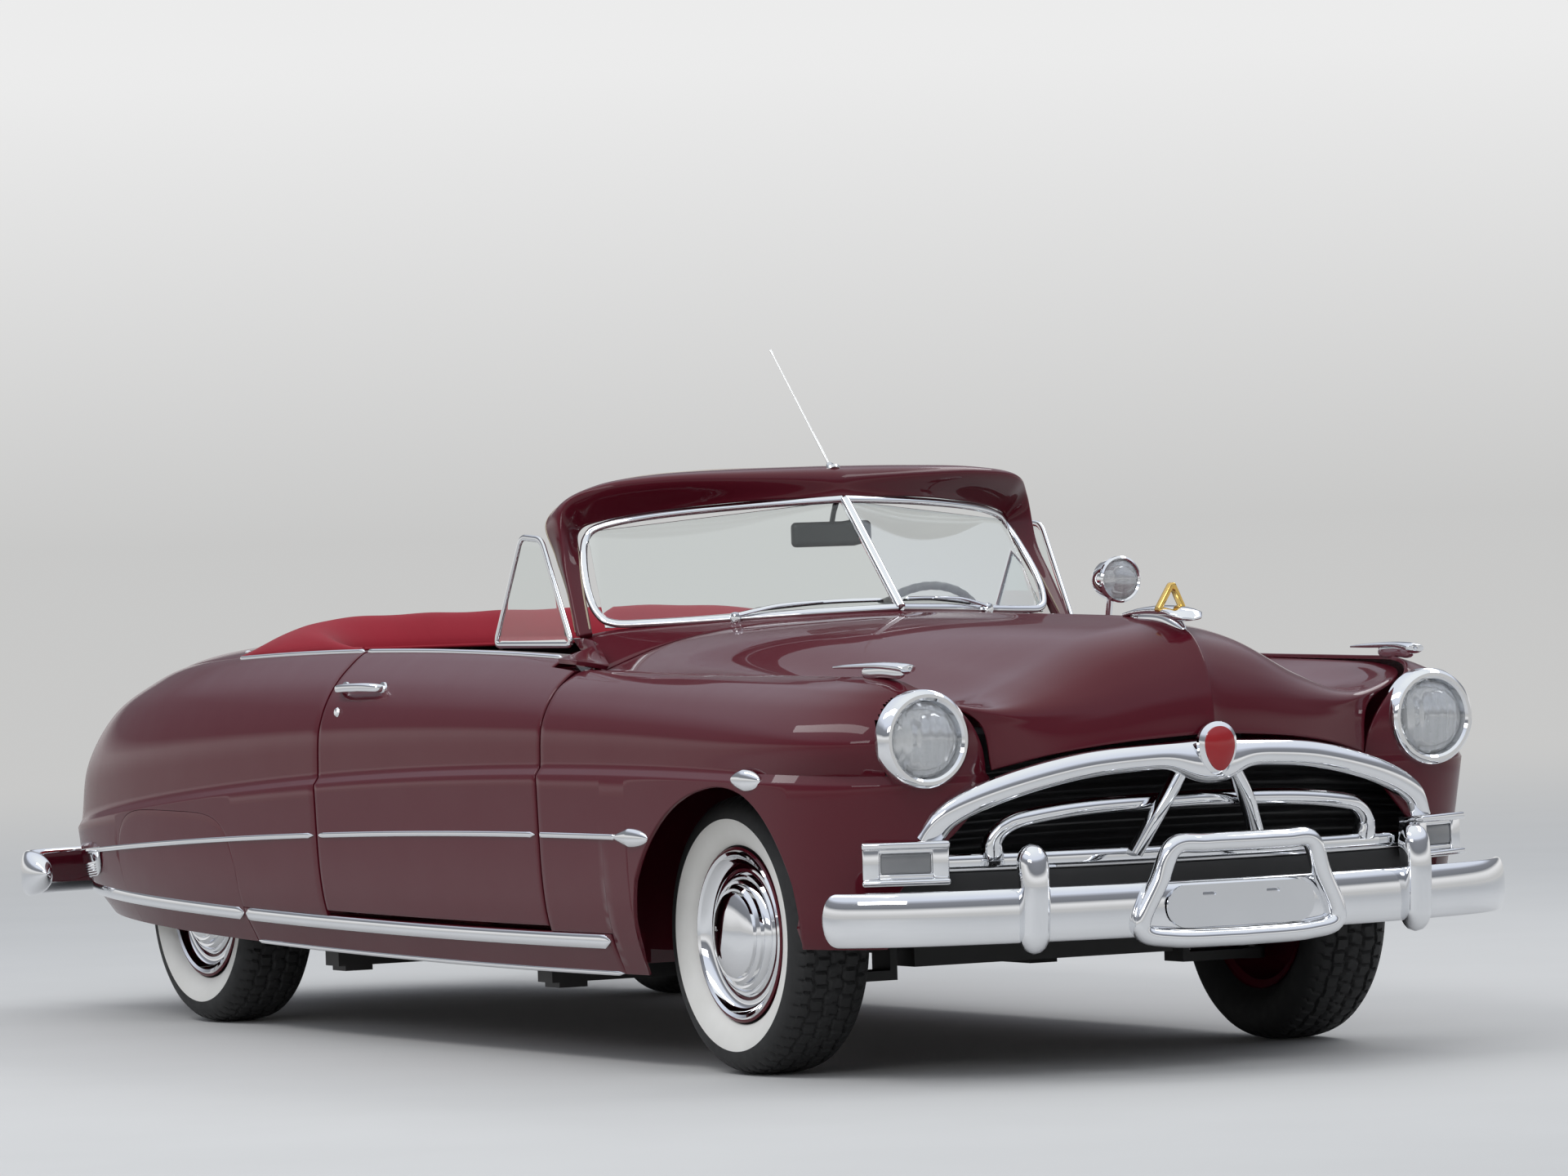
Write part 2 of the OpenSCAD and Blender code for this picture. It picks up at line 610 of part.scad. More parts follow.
function lid_top(q, y) =
    let (
        end = tail_point(y, BELT)[0],
        x = deck_x + q * (end - deck_x),
        crown = deck_crown * (1 - pow(y / tail_y, 2)) * (1 - q * q)
    )
    [x, y, level_z(x, level_row(BELT)) + deck_lift * (1 - q * q) + crown];
module deck_lid() {
    grid = [for (s = LID_SHARES) concat(
        [for (q = LID_TOP) lid_top(q, -s * lid_y)],
        [for (v = LID_BACK) tail_point(-s * lid_y, v)]
    )];
    under = moved_in(reversed_columns(grid), 12);
    last = len(under[0]) - 1;
    color(maroon) shell_between(reversed_columns(grid), [for (row = under)
        [for (j = [0 : last]) row[j] - (j == last ? [lid_bevel, 0, 0] : [0, 0, 0])]]);
    color(maroon) both_sides()
        translate([lid_hinge_x, lid_hinge_y + 12, lid_hinge_z]) rotate([90, 0, 0]) difference() {
            union() {
                linear_extrude(12) polygon(LID_ARM);
                cylinder(r = 11, h = 12);
            }
            translate([0, 0, -1]) cylinder(r = hood_pin_r + run_gap, h = 14);
        }
}

// Windshield frame: stations from the middle of the header to a pillar's foot.
// Columns: the three points of the section at the glass, on the crown and at the rear edge.
WINDSHIELD = [
    [[763, 0, 1397], [722, 0, 1470], [455, 0, 1478]],
    [[705, 250, 1390], [704, 250, 1467], [452, 250, 1476]],
    [[615, 450, 1372], [664, 460, 1460], [447, 455, 1462]],
    [[545, 585, 1350], [600, 615, 1440], [438, 600, 1425]],
    [[508, 632, 1325], [525, 690, 1388], [416, 684, 1354]],
    [[545, 650, 1260], [545, 702, 1265], [478, 690, 1262]],
    [[605, 672, 1170], [600, 714, 1170], [560, 700, 1165]],
    [[672, 690, 1068], [665, 728, 1062], [622, 712, 1060]]
];
function windshield_point(k, j) =
    placed(spline([for (i = [0 : 2]) spline([for (row = WINDSHIELD) row[i]], k)], j));
WINDSHIELD_ROWS = [0, 0.5, 1, 1.5, 2];

// Cowl top: stations from the middle to the door's top, each from the hood's edge to the glass's foot.
// Columns: share of the way along the hood's rear edge, then the rear point.
COWL = [
    [0, [1036, 0, 1104]],
    [0.12, [988, 92, 1103]],
    [0.25, [935, 190, 1100]],
    [0.38, [878, 285, 1096]],
    [0.5, [820, 380, 1091]],
    [0.62, [764, 470, 1087]],
    [0.75, [712, 560, 1082]],
    [0.87, [668, 650, 1073]],
    [1, [630, 714, 1058]]
];
COWL_SIDE = [
    [[806, 748, 988], [700, 718, 1052]],
    [[880, 754, 988], [758, 722, 1044]],
    [[880, 800, 998], [763, 796, 1020]],
    [[880, 846, 1006], [765, 840, 1009]]
];
cowl_gap = 14;
function cowl_pair(k) =
    k < len(COWL) ? [hood_point(0, COWL[k][0]) - [cowl_gap, 0, 0], placed(COWL[k][1])]
    : [placed(COWL_SIDE[k - len(COWL)][0]), placed(COWL_SIDE[k - len(COWL)][1])];
function cowl_row(k) = let (q = cowl_pair(k)) [q[0], (q[0] + q[1]) / 2, q[1]];

module windshield_frame() {
    n = len(WINDSHIELD) - 1;
    half = [for (k = [0 : 0.5 : n]) [for (j = WINDSHIELD_ROWS) windshield_point(k, j)]];
    right = [for (i = [len(half) - 1 : -1 : 1]) [for (p = half[i]) flip_y(p)]];
    color(maroon) shell(concat(right, half), 20);
    top = [for (k = [0 : len(COWL) + len(COWL_SIDE) - 1]) cowl_row(k)];
    top_right = [for (i = [len(top) - 1 : -1 : 1]) [for (p = top[i]) flip_y(p)]];
    color(maroon) shell(concat(top_right, top), 12);
}

// Two flat panes meeting at the divider
GLASS = [[1036, 3, 1108], [660, 648, 1082], [520, 618, 1326], [764, 3, 1386]];
module windshield_glass() {
    grid = [[placed(GLASS[0]), placed(GLASS[3])], [placed(GLASS[1]), placed(GLASS[2])]];
    color([0.7, 0.78, 0.8]) both_sides() shell(grid, 6);
}
module windshield_trim() {
    corners = [for (p = GLASS) placed(p)];
    middle = [for (k = [0, 3]) [corners[k][0], 0, corners[k][2]]];
    color(chrome) {
        sweep(middle, oval(24, 26, 8), up = [1, 0, 0]);
        both_sides() {
            sweep([corners[0], corners[1]], oval(18, 22, 8));
            sweep([corners[1], corners[2]], oval(18, 22, 8), up = [1, 0, 0]);
        }
    }
}

// Floor, tunnel, rear riser, boot floor, wheel boxes and lock pillars
tunnel_y = 122;
tunnel_top = 470;
heel_x = quarter_x - 460 * long;
boot_z = 572;
bulkhead_top = 975;
arch_inner_y = rear_track / 2 - 133 * wide;
arch_top = 737;
pillar_in_y = 760 * wide;
firewall_x = fender_x + 94;
floor_front_x = fender_x + 54.7;
function pillar_outline(x, z_low, v_top) =
    concat(
        [[pillar_in_y, z_low], [sill_inner_y - seat_gap, z_low], [sill_inner_y - seat_gap, 348]],
        [for (v = [1.2 : 0.4 : 2.8]) let (p = side_point(x, v)) [p[1] - skin_t - 4, p[2]]],
        [for (v = [4 : 0.5 : v_top]) let (p = side_point(x, v)) [p[1] - skin_t - 4 - 14 * max(v - 5, 0), p[2]]],
        [[pillar_in_y, side_point(x, v_top)[2]]]
    );
module pillar(x0, x1, v_top) {
    translate([x0, 0, 0]) rotate([90, 0, 90]) linear_extrude(x1 - x0)
        polygon(pillar_outline((x0 + x1) / 2, floor_z - sheet_t, v_top));
}

module floor_tub() {
    low = floor_z - sheet_t;
    color(black) {
        both_sides() {
            box([heel_x, tunnel_y - sheet_t, low], [floor_front_x, sill_inner_y - seat_gap, floor_z]);
            box([heel_x, tunnel_y - sheet_t, low], [floor_front_x, tunnel_y, tunnel_top]);
            pillar(quarter_x - 70, quarter_x - 5, 6);
            box([heel_x - sheet_t, arch_inner_y, low], [heel_x, sill_inner_y - seat_gap, arch_top]);
            box([heel_x - sheet_t, tunnel_y - sheet_t, low], [heel_x, arch_inner_y, boot_z]);
            box([rear_axle_x - 380, arch_inner_y - sheet_t, boot_z - sheet_t],
                [heel_x, arch_inner_y, arch_top]);
            box([rear_axle_x - 380, arch_inner_y - sheet_t, arch_top - sheet_t],
                [heel_x, sill_inner_y - 20, arch_top]);
            box([lid_hinge_x - 11, lid_hinge_y + 20, boot_z - 1],
                [lid_hinge_x + 23, lid_hinge_y + 32, lid_hinge_z + 8]);
            translate([lid_hinge_x, lid_hinge_y + 26, lid_hinge_z]) rotate([90, 0, 0])
                cylinder(r = hood_pin_r, h = 34);
        }
        box([heel_x, -tunnel_y, tunnel_top - sheet_t], [floor_front_x, tunnel_y, tunnel_top]);
        box([heel_x - sheet_t, -tunnel_y, tunnel_top - sheet_t], [heel_x, tunnel_y, boot_z]);
        box([rear_axle_x - 880, -arch_inner_y, boot_z - sheet_t], [heel_x, arch_inner_y, boot_z]);
        box([lid_hinge_x + 22, -arch_inner_y, boot_z - 1], [lid_hinge_x + 34, arch_inner_y, bulkhead_top]);
    }
}

// Firewall with the door and hood hinges' pillars
module cowl() {
    low = floor_z - sheet_t;
    color(maroon) {
        difference() {
            union() {
                box([firewall_x, -pillar_in_y - 1, low], [firewall_x + 16, pillar_in_y + 1, 930]);
                box([floor_front_x + seat_gap, -sill_inner_y + seat_gap, low],
                    [firewall_x + 1, sill_inner_y - seat_gap, floor_z]);
            }
            box([floor_front_x - 1, -tunnel_y, low - 1], [firewall_x + 20, tunnel_y, tunnel_top]);
        }
        both_sides() {
            pillar(floor_front_x + seat_gap, firewall_x + 16, 6.5);
            for (z = DOOR_HINGES) translate([hinge_x, hinge_y, z]) {
                cylinder(r = hinge_pin_r, h = hinge_h + 30, center = true);
                for (s = [-1, 1]) translate([0, 0, s * (hinge_h / 2 + 8)]) {
                    cylinder(r = hinge_barrel_r, h = 12, center = true);
                    translate([0, -8, -6]) cube([20, 16, 12]);
                }
            }
            box([hood_hinge_x - 11, hood_hinge_y + 20, hood_hinge_z - 120],
                [firewall_x + 16, hood_hinge_y + 32, hood_hinge_z - 85]);
            box([hood_hinge_x - 11, hood_hinge_y + 20, hood_hinge_z - 120],
                [hood_hinge_x + 16, hood_hinge_y + 32, hood_hinge_z + 9]);
            translate([hood_hinge_x, hood_hinge_y + 26, hood_hinge_z]) rotate([90, 0, 0])
                cylinder(r = hood_pin_r, h = 30);
        }
    }
}

// Longitudinal rails and cross members, with four jack pads
rail_y = 330 * wide;
rail_w = 80;
under_z = floor_z - sheet_t - seat_gap;
JACK_X = [cabin_x + 640, quarter_x - 200 * long];
frame_front_x = front_axle_x + 755;
module unit_frame() {
    color(black) {
        both_sides() {
            box([firewall_x + 16 + seat_gap, rail_y, 330], [frame_front_x, rail_y + rail_w, 430]);
            box([firewall_x + 16 + seat_gap, rail_y, 190], [firewall_x + 90, rail_y + rail_w, 430]);
            box([heel_x - 60, rail_y, 190], [firewall_x + 90, rail_y + rail_w, under_z]);
            box([heel_x - 95, rail_y, 190], [heel_x - sheet_t - seat_gap, rail_y + rail_w, 559]);
            box([rear_axle_x - 930, rail_y, 470], [heel_x - 60, rail_y + rail_w, 559.7]);
            for (x = JACK_X) {
                box([x - 40, rail_y, 190], [x + 40, 840 * wide, under_z]);
                box([x - 40, 740 * wide, 176], [x + 40, 820 * wide, 200]);
            }
        }
        box([front_axle_x - 60, -rail_y - 40, 240], [front_axle_x + 60, rail_y + 40, 331]);
        box([frame_front_x - 75, -rail_y - 40, 330], [frame_front_x, rail_y + 40, 430]);
        box([rear_axle_x - 930, -rail_y - 40, 470], [rear_axle_x - 850, rail_y + 40, 559.7]);
    }
}

// Dashboard with the shelf under the windshield
module dashboard() {
    color(maroon) difference() {
        union() {
            box([cabin_x + 560, -668 * wide, 790], [cabin_x + 640, 668 * wide, 1030]);
            box([cabin_x + 630, -585 * wide, 800], [firewall_x - seat_gap, 585 * wide, 985]);
        }
        column_place() translate([0, 0, -900]) cylinder(r = 25.3, h = 1200);
    }
}

steering_x = cabin_x + 459;
steering_y = 370 * wide;
steering_z = 974;
shaft_r = 12;
// Frame of the steering column: +Z towards the driver, origin in the wheel's middle
module column_place() {
    translate([steering_x, steering_y, steering_z]) rotate([0, column_rake - 90, 0]) children();
}
module steering_column() {
    length = (firewall_x - 4 - steering_x) / cos(column_rake) - 12;
    color(steel) column_place() translate([0, 0, -length]) difference() {
        cylinder(r = 25, h = length - 60);
        translate([0, 0, length - 260]) cylinder(r = shaft_r + run_gap, h = 300);
    }
}
module steering_wheel() {
    color([0.5, 0.48, 0.44]) column_place() {
        rotate_extrude() translate([steering_r - 11, 0]) circle(r = 11, $fn = 16);
        translate([0, 0, -220]) cylinder(r = shaft_r, h = 210);
        translate([0, 0, -40]) cylinder(r1 = 30, r2 = 42, h = 42);
        for (a = [0, 120, 240]) rotate([0, 0, a + 90]) translate([0, -11, -12]) cube([steering_r - 10, 22, 10]);
    }
}

// Bench seats: side profiles carried across the cabin
FRONT_SEAT = [
    [600, floor_z + seat_gap], [600, 400], [585, 470], [540, 505], [300, 490], [150, 480], [70, 640], [20, 820],
    [0, 930], [-40, 965], [-85, 955], [-110, 900], [-70, 640], [-20, 400], [-20, floor_z + seat_gap]
];
// The rear one is written from the heel board, and its depth follows the wheelbase
REAR_SEAT = [
    [430, floor_z + seat_gap], [435, 480], [410, 525], [360, 540], [70, 520], [15, 700], [-30, 880], [-45, 950],
    [-65, 975], [-110, 975], [-125, 930], [-40, 600], [8, 573], [8, floor_z + seat_gap]
];
module bench(x, profile, half_w) {
    translate([x, half_w, 0]) rotate([90, 0, 0]) linear_extrude(2 * half_w) polygon(profile);
}
module front_seat() {
    color([0.3, 0.06, 0.07]) difference() {
        bench(cabin_x, FRONT_SEAT, 680 * wide);
        box([cabin_x - 200, -tunnel_y - 10, 0], [cabin_x + 700, tunnel_y + 10, tunnel_top + seat_gap]);
    }
}
module rear_seat() {
    color([0.3, 0.06, 0.07]) difference() {
        bench(heel_x, [for (q = REAR_SEAT) [long * q[0], q[1]]], arch_inner_y - 17);
        box([heel_x - 140, -tunnel_y - 10, 0], [heel_x + 560, tunnel_y + 10, tunnel_top + seat_gap]);
    }
}

// Cloth cover over the folded top: full width at the back, with an arm along each side
cover_rear_x = lid_hinge_x + 37;
cover_low = 975.3;
cover_half_w = 762 * wide;
COVER_Y = [0, 0.25, 0.5, 0.7, 0.8, 0.86, 0.92, 0.97, 1];
COVER_U = [0, 0.1, 0.25, 0.45, 0.65, 0.85, 1];
function cover_front(s) = quarter_x + long * (490 * pow(abs(s), 9) - 532);
function cover_point(s, u, top) =
    let (
        x = cover_rear_x + u * (cover_front(s) - cover_rear_x),
        puff = pow(max(sin(180 * u), 0), 0.6) * pow(max(1 - pow(abs(s), 6), 0), 0.5),
        z = top ? level_z(x, level_row(BELT)) + 2 + 96 * puff : cover_low
    )
    [x, s * cover_half_w, z];
function cover_grid(top) =
    [for (i = [-len(COVER_Y) + 1 : len(COVER_Y) - 1])
        [for (u = COVER_U) cover_point(sign(i) * COVER_Y[abs(i)], u, top)]];
module boot_cover() {
    color([0.5, 0.06, 0.07]) shell_between(reversed_rows(cover_grid(true)), reversed_rows(cover_grid(false)));
}

// Bumpers: half of each bar's middle line from its end inwards, as distance from the axle and from the
// middle plane. The bows stretch with the overhangs.
FRONT_BUMPER = [[632, 943], [700, 912], [800, 800], [872, 620], [922, 400], [948, 180], [956, 0]];
REAR_BUMPER = [[690, 958], [880, 936], [990, 862], [1065, 660], [1107, 400], [1126, 180], [1132, 0]];
front_stretch = 1 + (front_overhang - 1015) / 324;
rear_stretch = 1 + (rear_overhang - 1145) / 442;
function front_reach(x) = 632 + (x - 632) * front_stretch;
function rear_reach(x) = 690 + (x - 690) * rear_stretch;
GUARD_LOOP = [
    [0, 0, 550], [-2, 110, 550], [-7, 189, 545], [-18, 225, 470], [-30, 273, 358], [-28, 190, 330],
    [-24, 0, 325]
];
loop_x = front_axle_x + front_overhang - 23;
guard_y = 533 * wide;
BUMPER_GUARD = [[12, 310], [19, 400], [23, 480], [9, 560]];
module bumper_bar(half) {
    line = [for (k = [0 : 0.5 : len(half) - 1]) spline(half, k)];
    sweep(concat(line, [for (i = [len(line) - 2 : -1 : 0]) flip_y(line[i])]), oval(26, bumper_h, 12, 4));
}
module bumper_bracket(x0, x1, z0, z1, grow) {
    box([x0, rail_y - grow, z0 - grow], [x1, rail_y + rail_w + grow, z1 + grow]);
}
module front_bumper() {
    color(chrome) {
        bumper_bar([for (q = FRONT_BUMPER) [front_axle_x + front_reach(q[0]), wide * q[1], bumper_z]]);
        both_sides() {
            bumper_bracket(frame_front_x + seat_gap, front_axle_x + front_reach(925), 350, 425, 0);
            sweep([for (q = BUMPER_GUARD) [front_axle_x + front_reach(893) + q[0], guard_y, q[1]]],
                oval(72, 74), up = [1, 0, 0]);
        }
        loop = concat([for (k = [0 : 0.5 : 6]) spline(GUARD_LOOP, k)],
            [for (k = [5.5 : -0.5 : 0.5]) flip_y(spline(GUARD_LOOP, k))]);
        translate([loop_x, 0, 0]) sweep(loop, oval(46, 46, 8), up = [1, 0, 0], closed = true);
    }
}
module rear_bumper() {
    color(chrome) {
        bumper_bar([for (q = REAR_BUMPER) [rear_axle_x - rear_reach(q[0]), wide * q[1], bumper_z]]);
        both_sides()
            bumper_bracket(rear_axle_x - 1100, rear_axle_x - 880, 420, 469.7, 0);
    }
}

// Panel with round ends inside the guard loop, with two mounting slots for a registration plate
plate_half_w = 205;
plate_h = 100;
plate_spacing = 178;
plate_slot_l = 38;
plate_slot_r = 4.5;
plate_x = loop_x - 22.7;
module plate_panel() {
    color(chrome) difference() {
        hull() for (s = [-1, 1]) translate([plate_x, s * (plate_half_w - plate_h / 2), bumper_z + 4])
            rotate([0, 90, 0]) cylinder(r = plate_h / 2, h = 6);
        for (s = [-1, 1]) translate([plate_x - 1, s * plate_spacing / 2, 430]) rotate([0, 90, 0]) {
            for (d = [-1, 1]) translate([0, d * (plate_slot_l / 2 - plate_slot_r), 0])
                cylinder(r = plate_slot_r, h = 8);
            translate([-plate_slot_r, -(plate_slot_l / 2 - plate_slot_r), 0])
                cube([2 * plate_slot_r, plate_slot_l - 2 * plate_slot_r, 8]);
        }
    }
}

// Lamps
lamp_x = front_axle_x + 604;
module headlamp_rims() {
    color(chrome) both_sides() translate([lamp_x, headlamp_y, headlamp_z]) rotate([0, 90, 0])
        rotate_extrude() polygon([
            [0, 0], [70, 10], [84, 70], [headlamp_r, 96], [headlamp_r, 130], [headlamp_r - 12, 146],
            [92, 140], [90, 118], [0, 118]
        ]);
}
module headlamp_lenses() {
    color([0.85, 0.88, 0.9]) both_sides()
        translate([lamp_x + 118.3, headlamp_y, headlamp_z]) rotate([0, 90, 0])
            rotate_extrude() polygon([[0, 0], [89.7, 0], [89.7, 12], [70, 22], [40, 30], [0, 33]]);
}
module parking_lamps() {
    color(chrome) both_sides() translate([front_axle_x + 684, 744 * wide, 524]) rotate([0, 0, 27])
        box([-40, -98, -52], [26, 98, 52]);
}
tail_lamp_y = 650 * wide;
module tail_lamps() {
    color([0.55, 0.03, 0.04]) both_sides() translate(tail_point(tail_lamp_y, 4.2)) rotate([0, -90, -20])
        translate([0, 0, -14]) cylinder(r1 = 46, r2 = 36, h = 48);
}
module spot_lamp() {
    color(chrome) {
        translate([cabin_x + 792, 762 * wide, 1000]) rotate([0, 8, 0]) cylinder(r = 8, h = 110);
        translate([cabin_x + 778, 762 * wide, 1160]) rotate([0, 90, 0]) cylinder(r1 = 40, r2 = 57, h = 84);
    }
}
antenna_l = 450;
module antenna() {
    color(chrome) translate([front_axle_x - 930, 0, 1462]) rotate([0, -44, 0]) {
        cylinder(r1 = 3, r2 = 2, h = antenna_l, $fn = 12);
        cylinder(r1 = 16, r2 = 8, h = 18, $fn = 24);
    }
}

// Engine with gearbox and radiator as plain blocks
module engine() {
    color(steel) translate([cabin_x, 0, 0]) {
        box([1090, -165, 331.5], [1890, 165, 800]);
        box([1000, -110, 331.5], [1100, 110, 560]);
        box([1880, -320, 431], [2010, 320, 500]);
        box([2080, -300, 430.3], [2160, 300, 800]);
        box([1880, -100, 460], [2100, 100, 520]);
    }
}
module driveline() {
    length = cabin_x + 860 - rear_axle_x;
    color(steel) translate([cabin_x + 998.6, 0, 400]) rotate([0, -90 - 1.3, 0]) cylinder(r = 38, h = length);
}
module rear_axle() {
    color(steel) {
        translate([rear_axle_x, 0, axle_z]) sphere(r = 128);
        translate([rear_axle_x, rear_track / 2 - 145, axle_z]) rotate([90, 0, 0])
            cylinder(r = 38, h = rear_track - 290);
        both_sides() translate([rear_axle_x, rear_track / 2 + 62, axle_z]) rotate([90, 0, 0])
            cylinder(r = hub_r - run_gap, h = 220);
    }
}
spring_y = 440 * wide;
// The front eye stands just behind the heel board
spring_reach = 605;
spring_front = heel_x - 45 - rear_axle_x;
function spring_x(k) = rear_axle_x + k * ((k > 0 ? spring_front : spring_reach) - 17) / 6;
module leaf_springs() {
    color(black) both_sides() translate([0, spring_y + 60, 0]) rotate([90, 0, 0]) linear_extrude(60)
        polygon(concat(
            [for (k = [-6 : 6]) [spring_x(k), axle_z - 38.3 - 42 + 2.4 * k * k]],
            [for (k = [6 : -1 : -6]) [spring_x(k), axle_z - 38.3 - 0.2 * abs(k) + 2.4 * k * k]]
        ));
    color(black) both_sides() {
        for (x = [spring_front - 35, -spring_reach])
            box([rear_axle_x + x, rail_y + rail_w + seat_gap, 330], [rear_axle_x + x + 35, spring_y + 60, 540]);
    }
}

// Front suspension arms with the king pins' eyes, and the knuckles that turn on the pins
king_y = front_track / 2 - 98;
king_r = 16;
EYE_Z = [222, 458];
module front_suspension() {
    color(black) both_sides() {
        difference() {
            union() {
                for (z = EYE_Z) {
                    translate([front_axle_x, king_y, z]) cylinder(r = 32, h = 30, center = true);
                    box([front_axle_x - 45, rail_y + rail_w + 12, z - 12], [front_axle_x + 45, king_y, z + 12]);
                }
                box([front_axle_x - 45, rail_y + rail_w + seat_gap, EYE_Z[0] - 12],
                    [front_axle_x + 45, rail_y + rail_w + 20, EYE_Z[1] + 12]);
            }
            translate([front_axle_x, king_y, 100]) cylinder(r = king_r + run_gap, h = 500);
        }
    }
}
module knuckle_solid() {
    color(steel) {
        translate([front_axle_x, king_y, EYE_Z[0] - 15]) cylinder(r = king_r, h = EYE_Z[1] - EYE_Z[0] + 30);
        translate([front_axle_x, king_y, EYE_Z[0] + 20]) cylinder(r = 30, h = EYE_Z[1] - EYE_Z[0] - 40);
        translate([front_axle_x, front_track / 2 + 62, axle_z]) rotate([90, 0, 0])
            cylinder(r = hub_r - run_gap, h = front_track / 2 + 62 - king_y);
        translate([front_axle_x, king_y + 50, axle_z]) rotate([90, 0, 0]) cylinder(r = 34, h = 50);
    }
}
module knuckle_left() knuckle_solid();
module knuckle_right() mirror([0, 1, 0]) knuckle_solid();

// Pipe from the engine, written from the rear axle: over the axle's tube and out below the bumper
EXHAUST = [
    [cabin_x + 1060 - rear_axle_x, 208], [heel_x - 40 - rear_axle_x, 208], [310, 262], [150, 400], [0, 436],
    [-150, 400], [-340, 312], [-640, 298], [-930, 298]
];
module exhaust() {
    color(steel) {
        sweep([for (q = EXHAUST) [rear_axle_x + q[0], -240, q[1]]], oval(44, 44, 10, 2));
        for (x = [cabin_x + 700, quarter_x - 100 * long]) box([x - 12, -252, 220], [x + 12, -228, under_z]);
    }
}
module fuel_tank() {
    color(black) box([rear_axle_x - 800, 30 - rail_y, 380], [rear_axle_x - 420, rail_y - 30, 559.7]);
}

// Tyres and wheels: half sections as radius and distance outwards from the tyre's middle plane
TYRE = [
    [205, -70], [216, -76], [236, -94], [262, -104], [286, -107], [310, -102], [328, -86], [337, -60],
    [340, -30], [340, 30], [337, 60], [328, 86], [310, 102], [286, 107], [262, 104], [236, 94], [216, 76],
    [205, 70]
];
WHEEL = [
    [hub_r, -36], [62, -36], [62, 14], [120, 34], [168, 30], [186, 6], [190, -72], [209, -78], [209, -84],
    [211, -84], [211, -76], [204.7, -71], [204.7, -40], [197, -30], [197, 40], [204.7, 50], [204.7, 71],
    [211, 77], [211, 84], [200, 82], [172, 62], [140, 64], [134, 84], [110, 100], [70, 106], [60, 112],
    [0, 116], [0, 64], [hub_r, 64]
];
function tyre_point(q) = [q[0] * rim_r / 209, q[1] * (q[0] > 220 ? tyre_w / 214 : 1)];
function wheel_point(q) = [q[0] > hub_r ? q[0] * rim_r / 209 : q[0], q[1]];
module turned(x, y, flip) {
    translate([x, y, axle_z]) mirror([0, flip, 0]) rotate([-90, 0, 0]) rotate_extrude($fn = 72) children();
}
module tyre_at(x, y, flip) {
    color(black) turned(x, y, flip) polygon([for (q = TYRE) tyre_point(q)]);
}
module wheel_at(x, y, flip) {
    color(maroon) turned(x, y, flip) polygon([for (q = WHEEL) wheel_point(q)]);
}
module tyre_front_left() tyre_at(front_axle_x, front_track / 2, 0);
module tyre_front_right() tyre_at(front_axle_x, -front_track / 2, 1);
module tyre_rear_left() tyre_at(rear_axle_x, rear_track / 2, 0);
module tyre_rear_right() tyre_at(rear_axle_x, -rear_track / 2, 1);
module wheel_front_left() wheel_at(front_axle_x, front_track / 2, 0);
module wheel_front_right() wheel_at(front_axle_x, -front_track / 2, 1);
module wheel_rear_left() wheel_at(rear_axle_x, rear_track / 2, 0);
module wheel_rear_right() wheel_at(rear_axle_x, -rear_track / 2, 1);

unit_frame();
floor_tub();
cowl();
windshield_frame();
windshield_glass();
windshield_trim();
front_fender_left();
front_fender_right();
rear_quarter_left();
rear_quarter_right();
tail_panel();
deck_panel();
wheel_skirts();
sill_panels();
front_apron();
grille();
door_left();
door_right();
vent_window_left();
vent_window_right();
hood();
hood_ornament();
deck_lid();
dashboard();
steering_column();
steering_wheel();
front_seat();
rear_seat();
boot_cover();
front_bumper();
plate_panel();
rear_bumper();
headlamp_rims();
headlamp_lenses();
parking_lamps();
tail_lamps();
spot_lamp();
antenna();
engine();
driveline();
rear_axle();
leaf_springs();
front_suspension();
exhaust();
fuel_tank();
knuckle_left();
knuckle_right();
tyre_front_left();
tyre_front_right();
tyre_rear_left();
tyre_rear_right();
wheel_front_left();
wheel_front_right();
wheel_rear_left();
wheel_rear_right();
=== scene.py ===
# %% [markdown]
# # A 1950s two-door convertible, panel by panel
# The solids of the car arrive as a fixed frame: each one sits where it belongs and rides on a body
# that can move. This lesson dresses them. We load the frame first. What we add may stand past it by
# a few millimetres at most.

# %% Load the frame
import math

import bpy
import numpy as np
from mathutils import Matrix, Vector


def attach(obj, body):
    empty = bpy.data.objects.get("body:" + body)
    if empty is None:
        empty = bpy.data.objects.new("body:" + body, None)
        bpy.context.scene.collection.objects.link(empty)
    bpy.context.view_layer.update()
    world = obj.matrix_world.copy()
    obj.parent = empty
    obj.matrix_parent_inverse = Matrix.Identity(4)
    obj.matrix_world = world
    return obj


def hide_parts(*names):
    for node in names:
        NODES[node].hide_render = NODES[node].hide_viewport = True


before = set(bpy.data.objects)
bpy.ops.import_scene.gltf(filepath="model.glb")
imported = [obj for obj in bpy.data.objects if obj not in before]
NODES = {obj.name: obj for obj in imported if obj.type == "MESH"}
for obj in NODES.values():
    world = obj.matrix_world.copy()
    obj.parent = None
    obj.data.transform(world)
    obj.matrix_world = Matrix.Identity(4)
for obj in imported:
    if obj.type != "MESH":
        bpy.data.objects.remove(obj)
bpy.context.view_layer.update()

# %% [markdown]
# ## Camera
# The car is seen from far away with a long lens, a little above the floor, from its right front
# corner. The camera is a point, two view angles and a small roll, and its axes are built by hand:
# the first column points right, the second up and the third backwards.

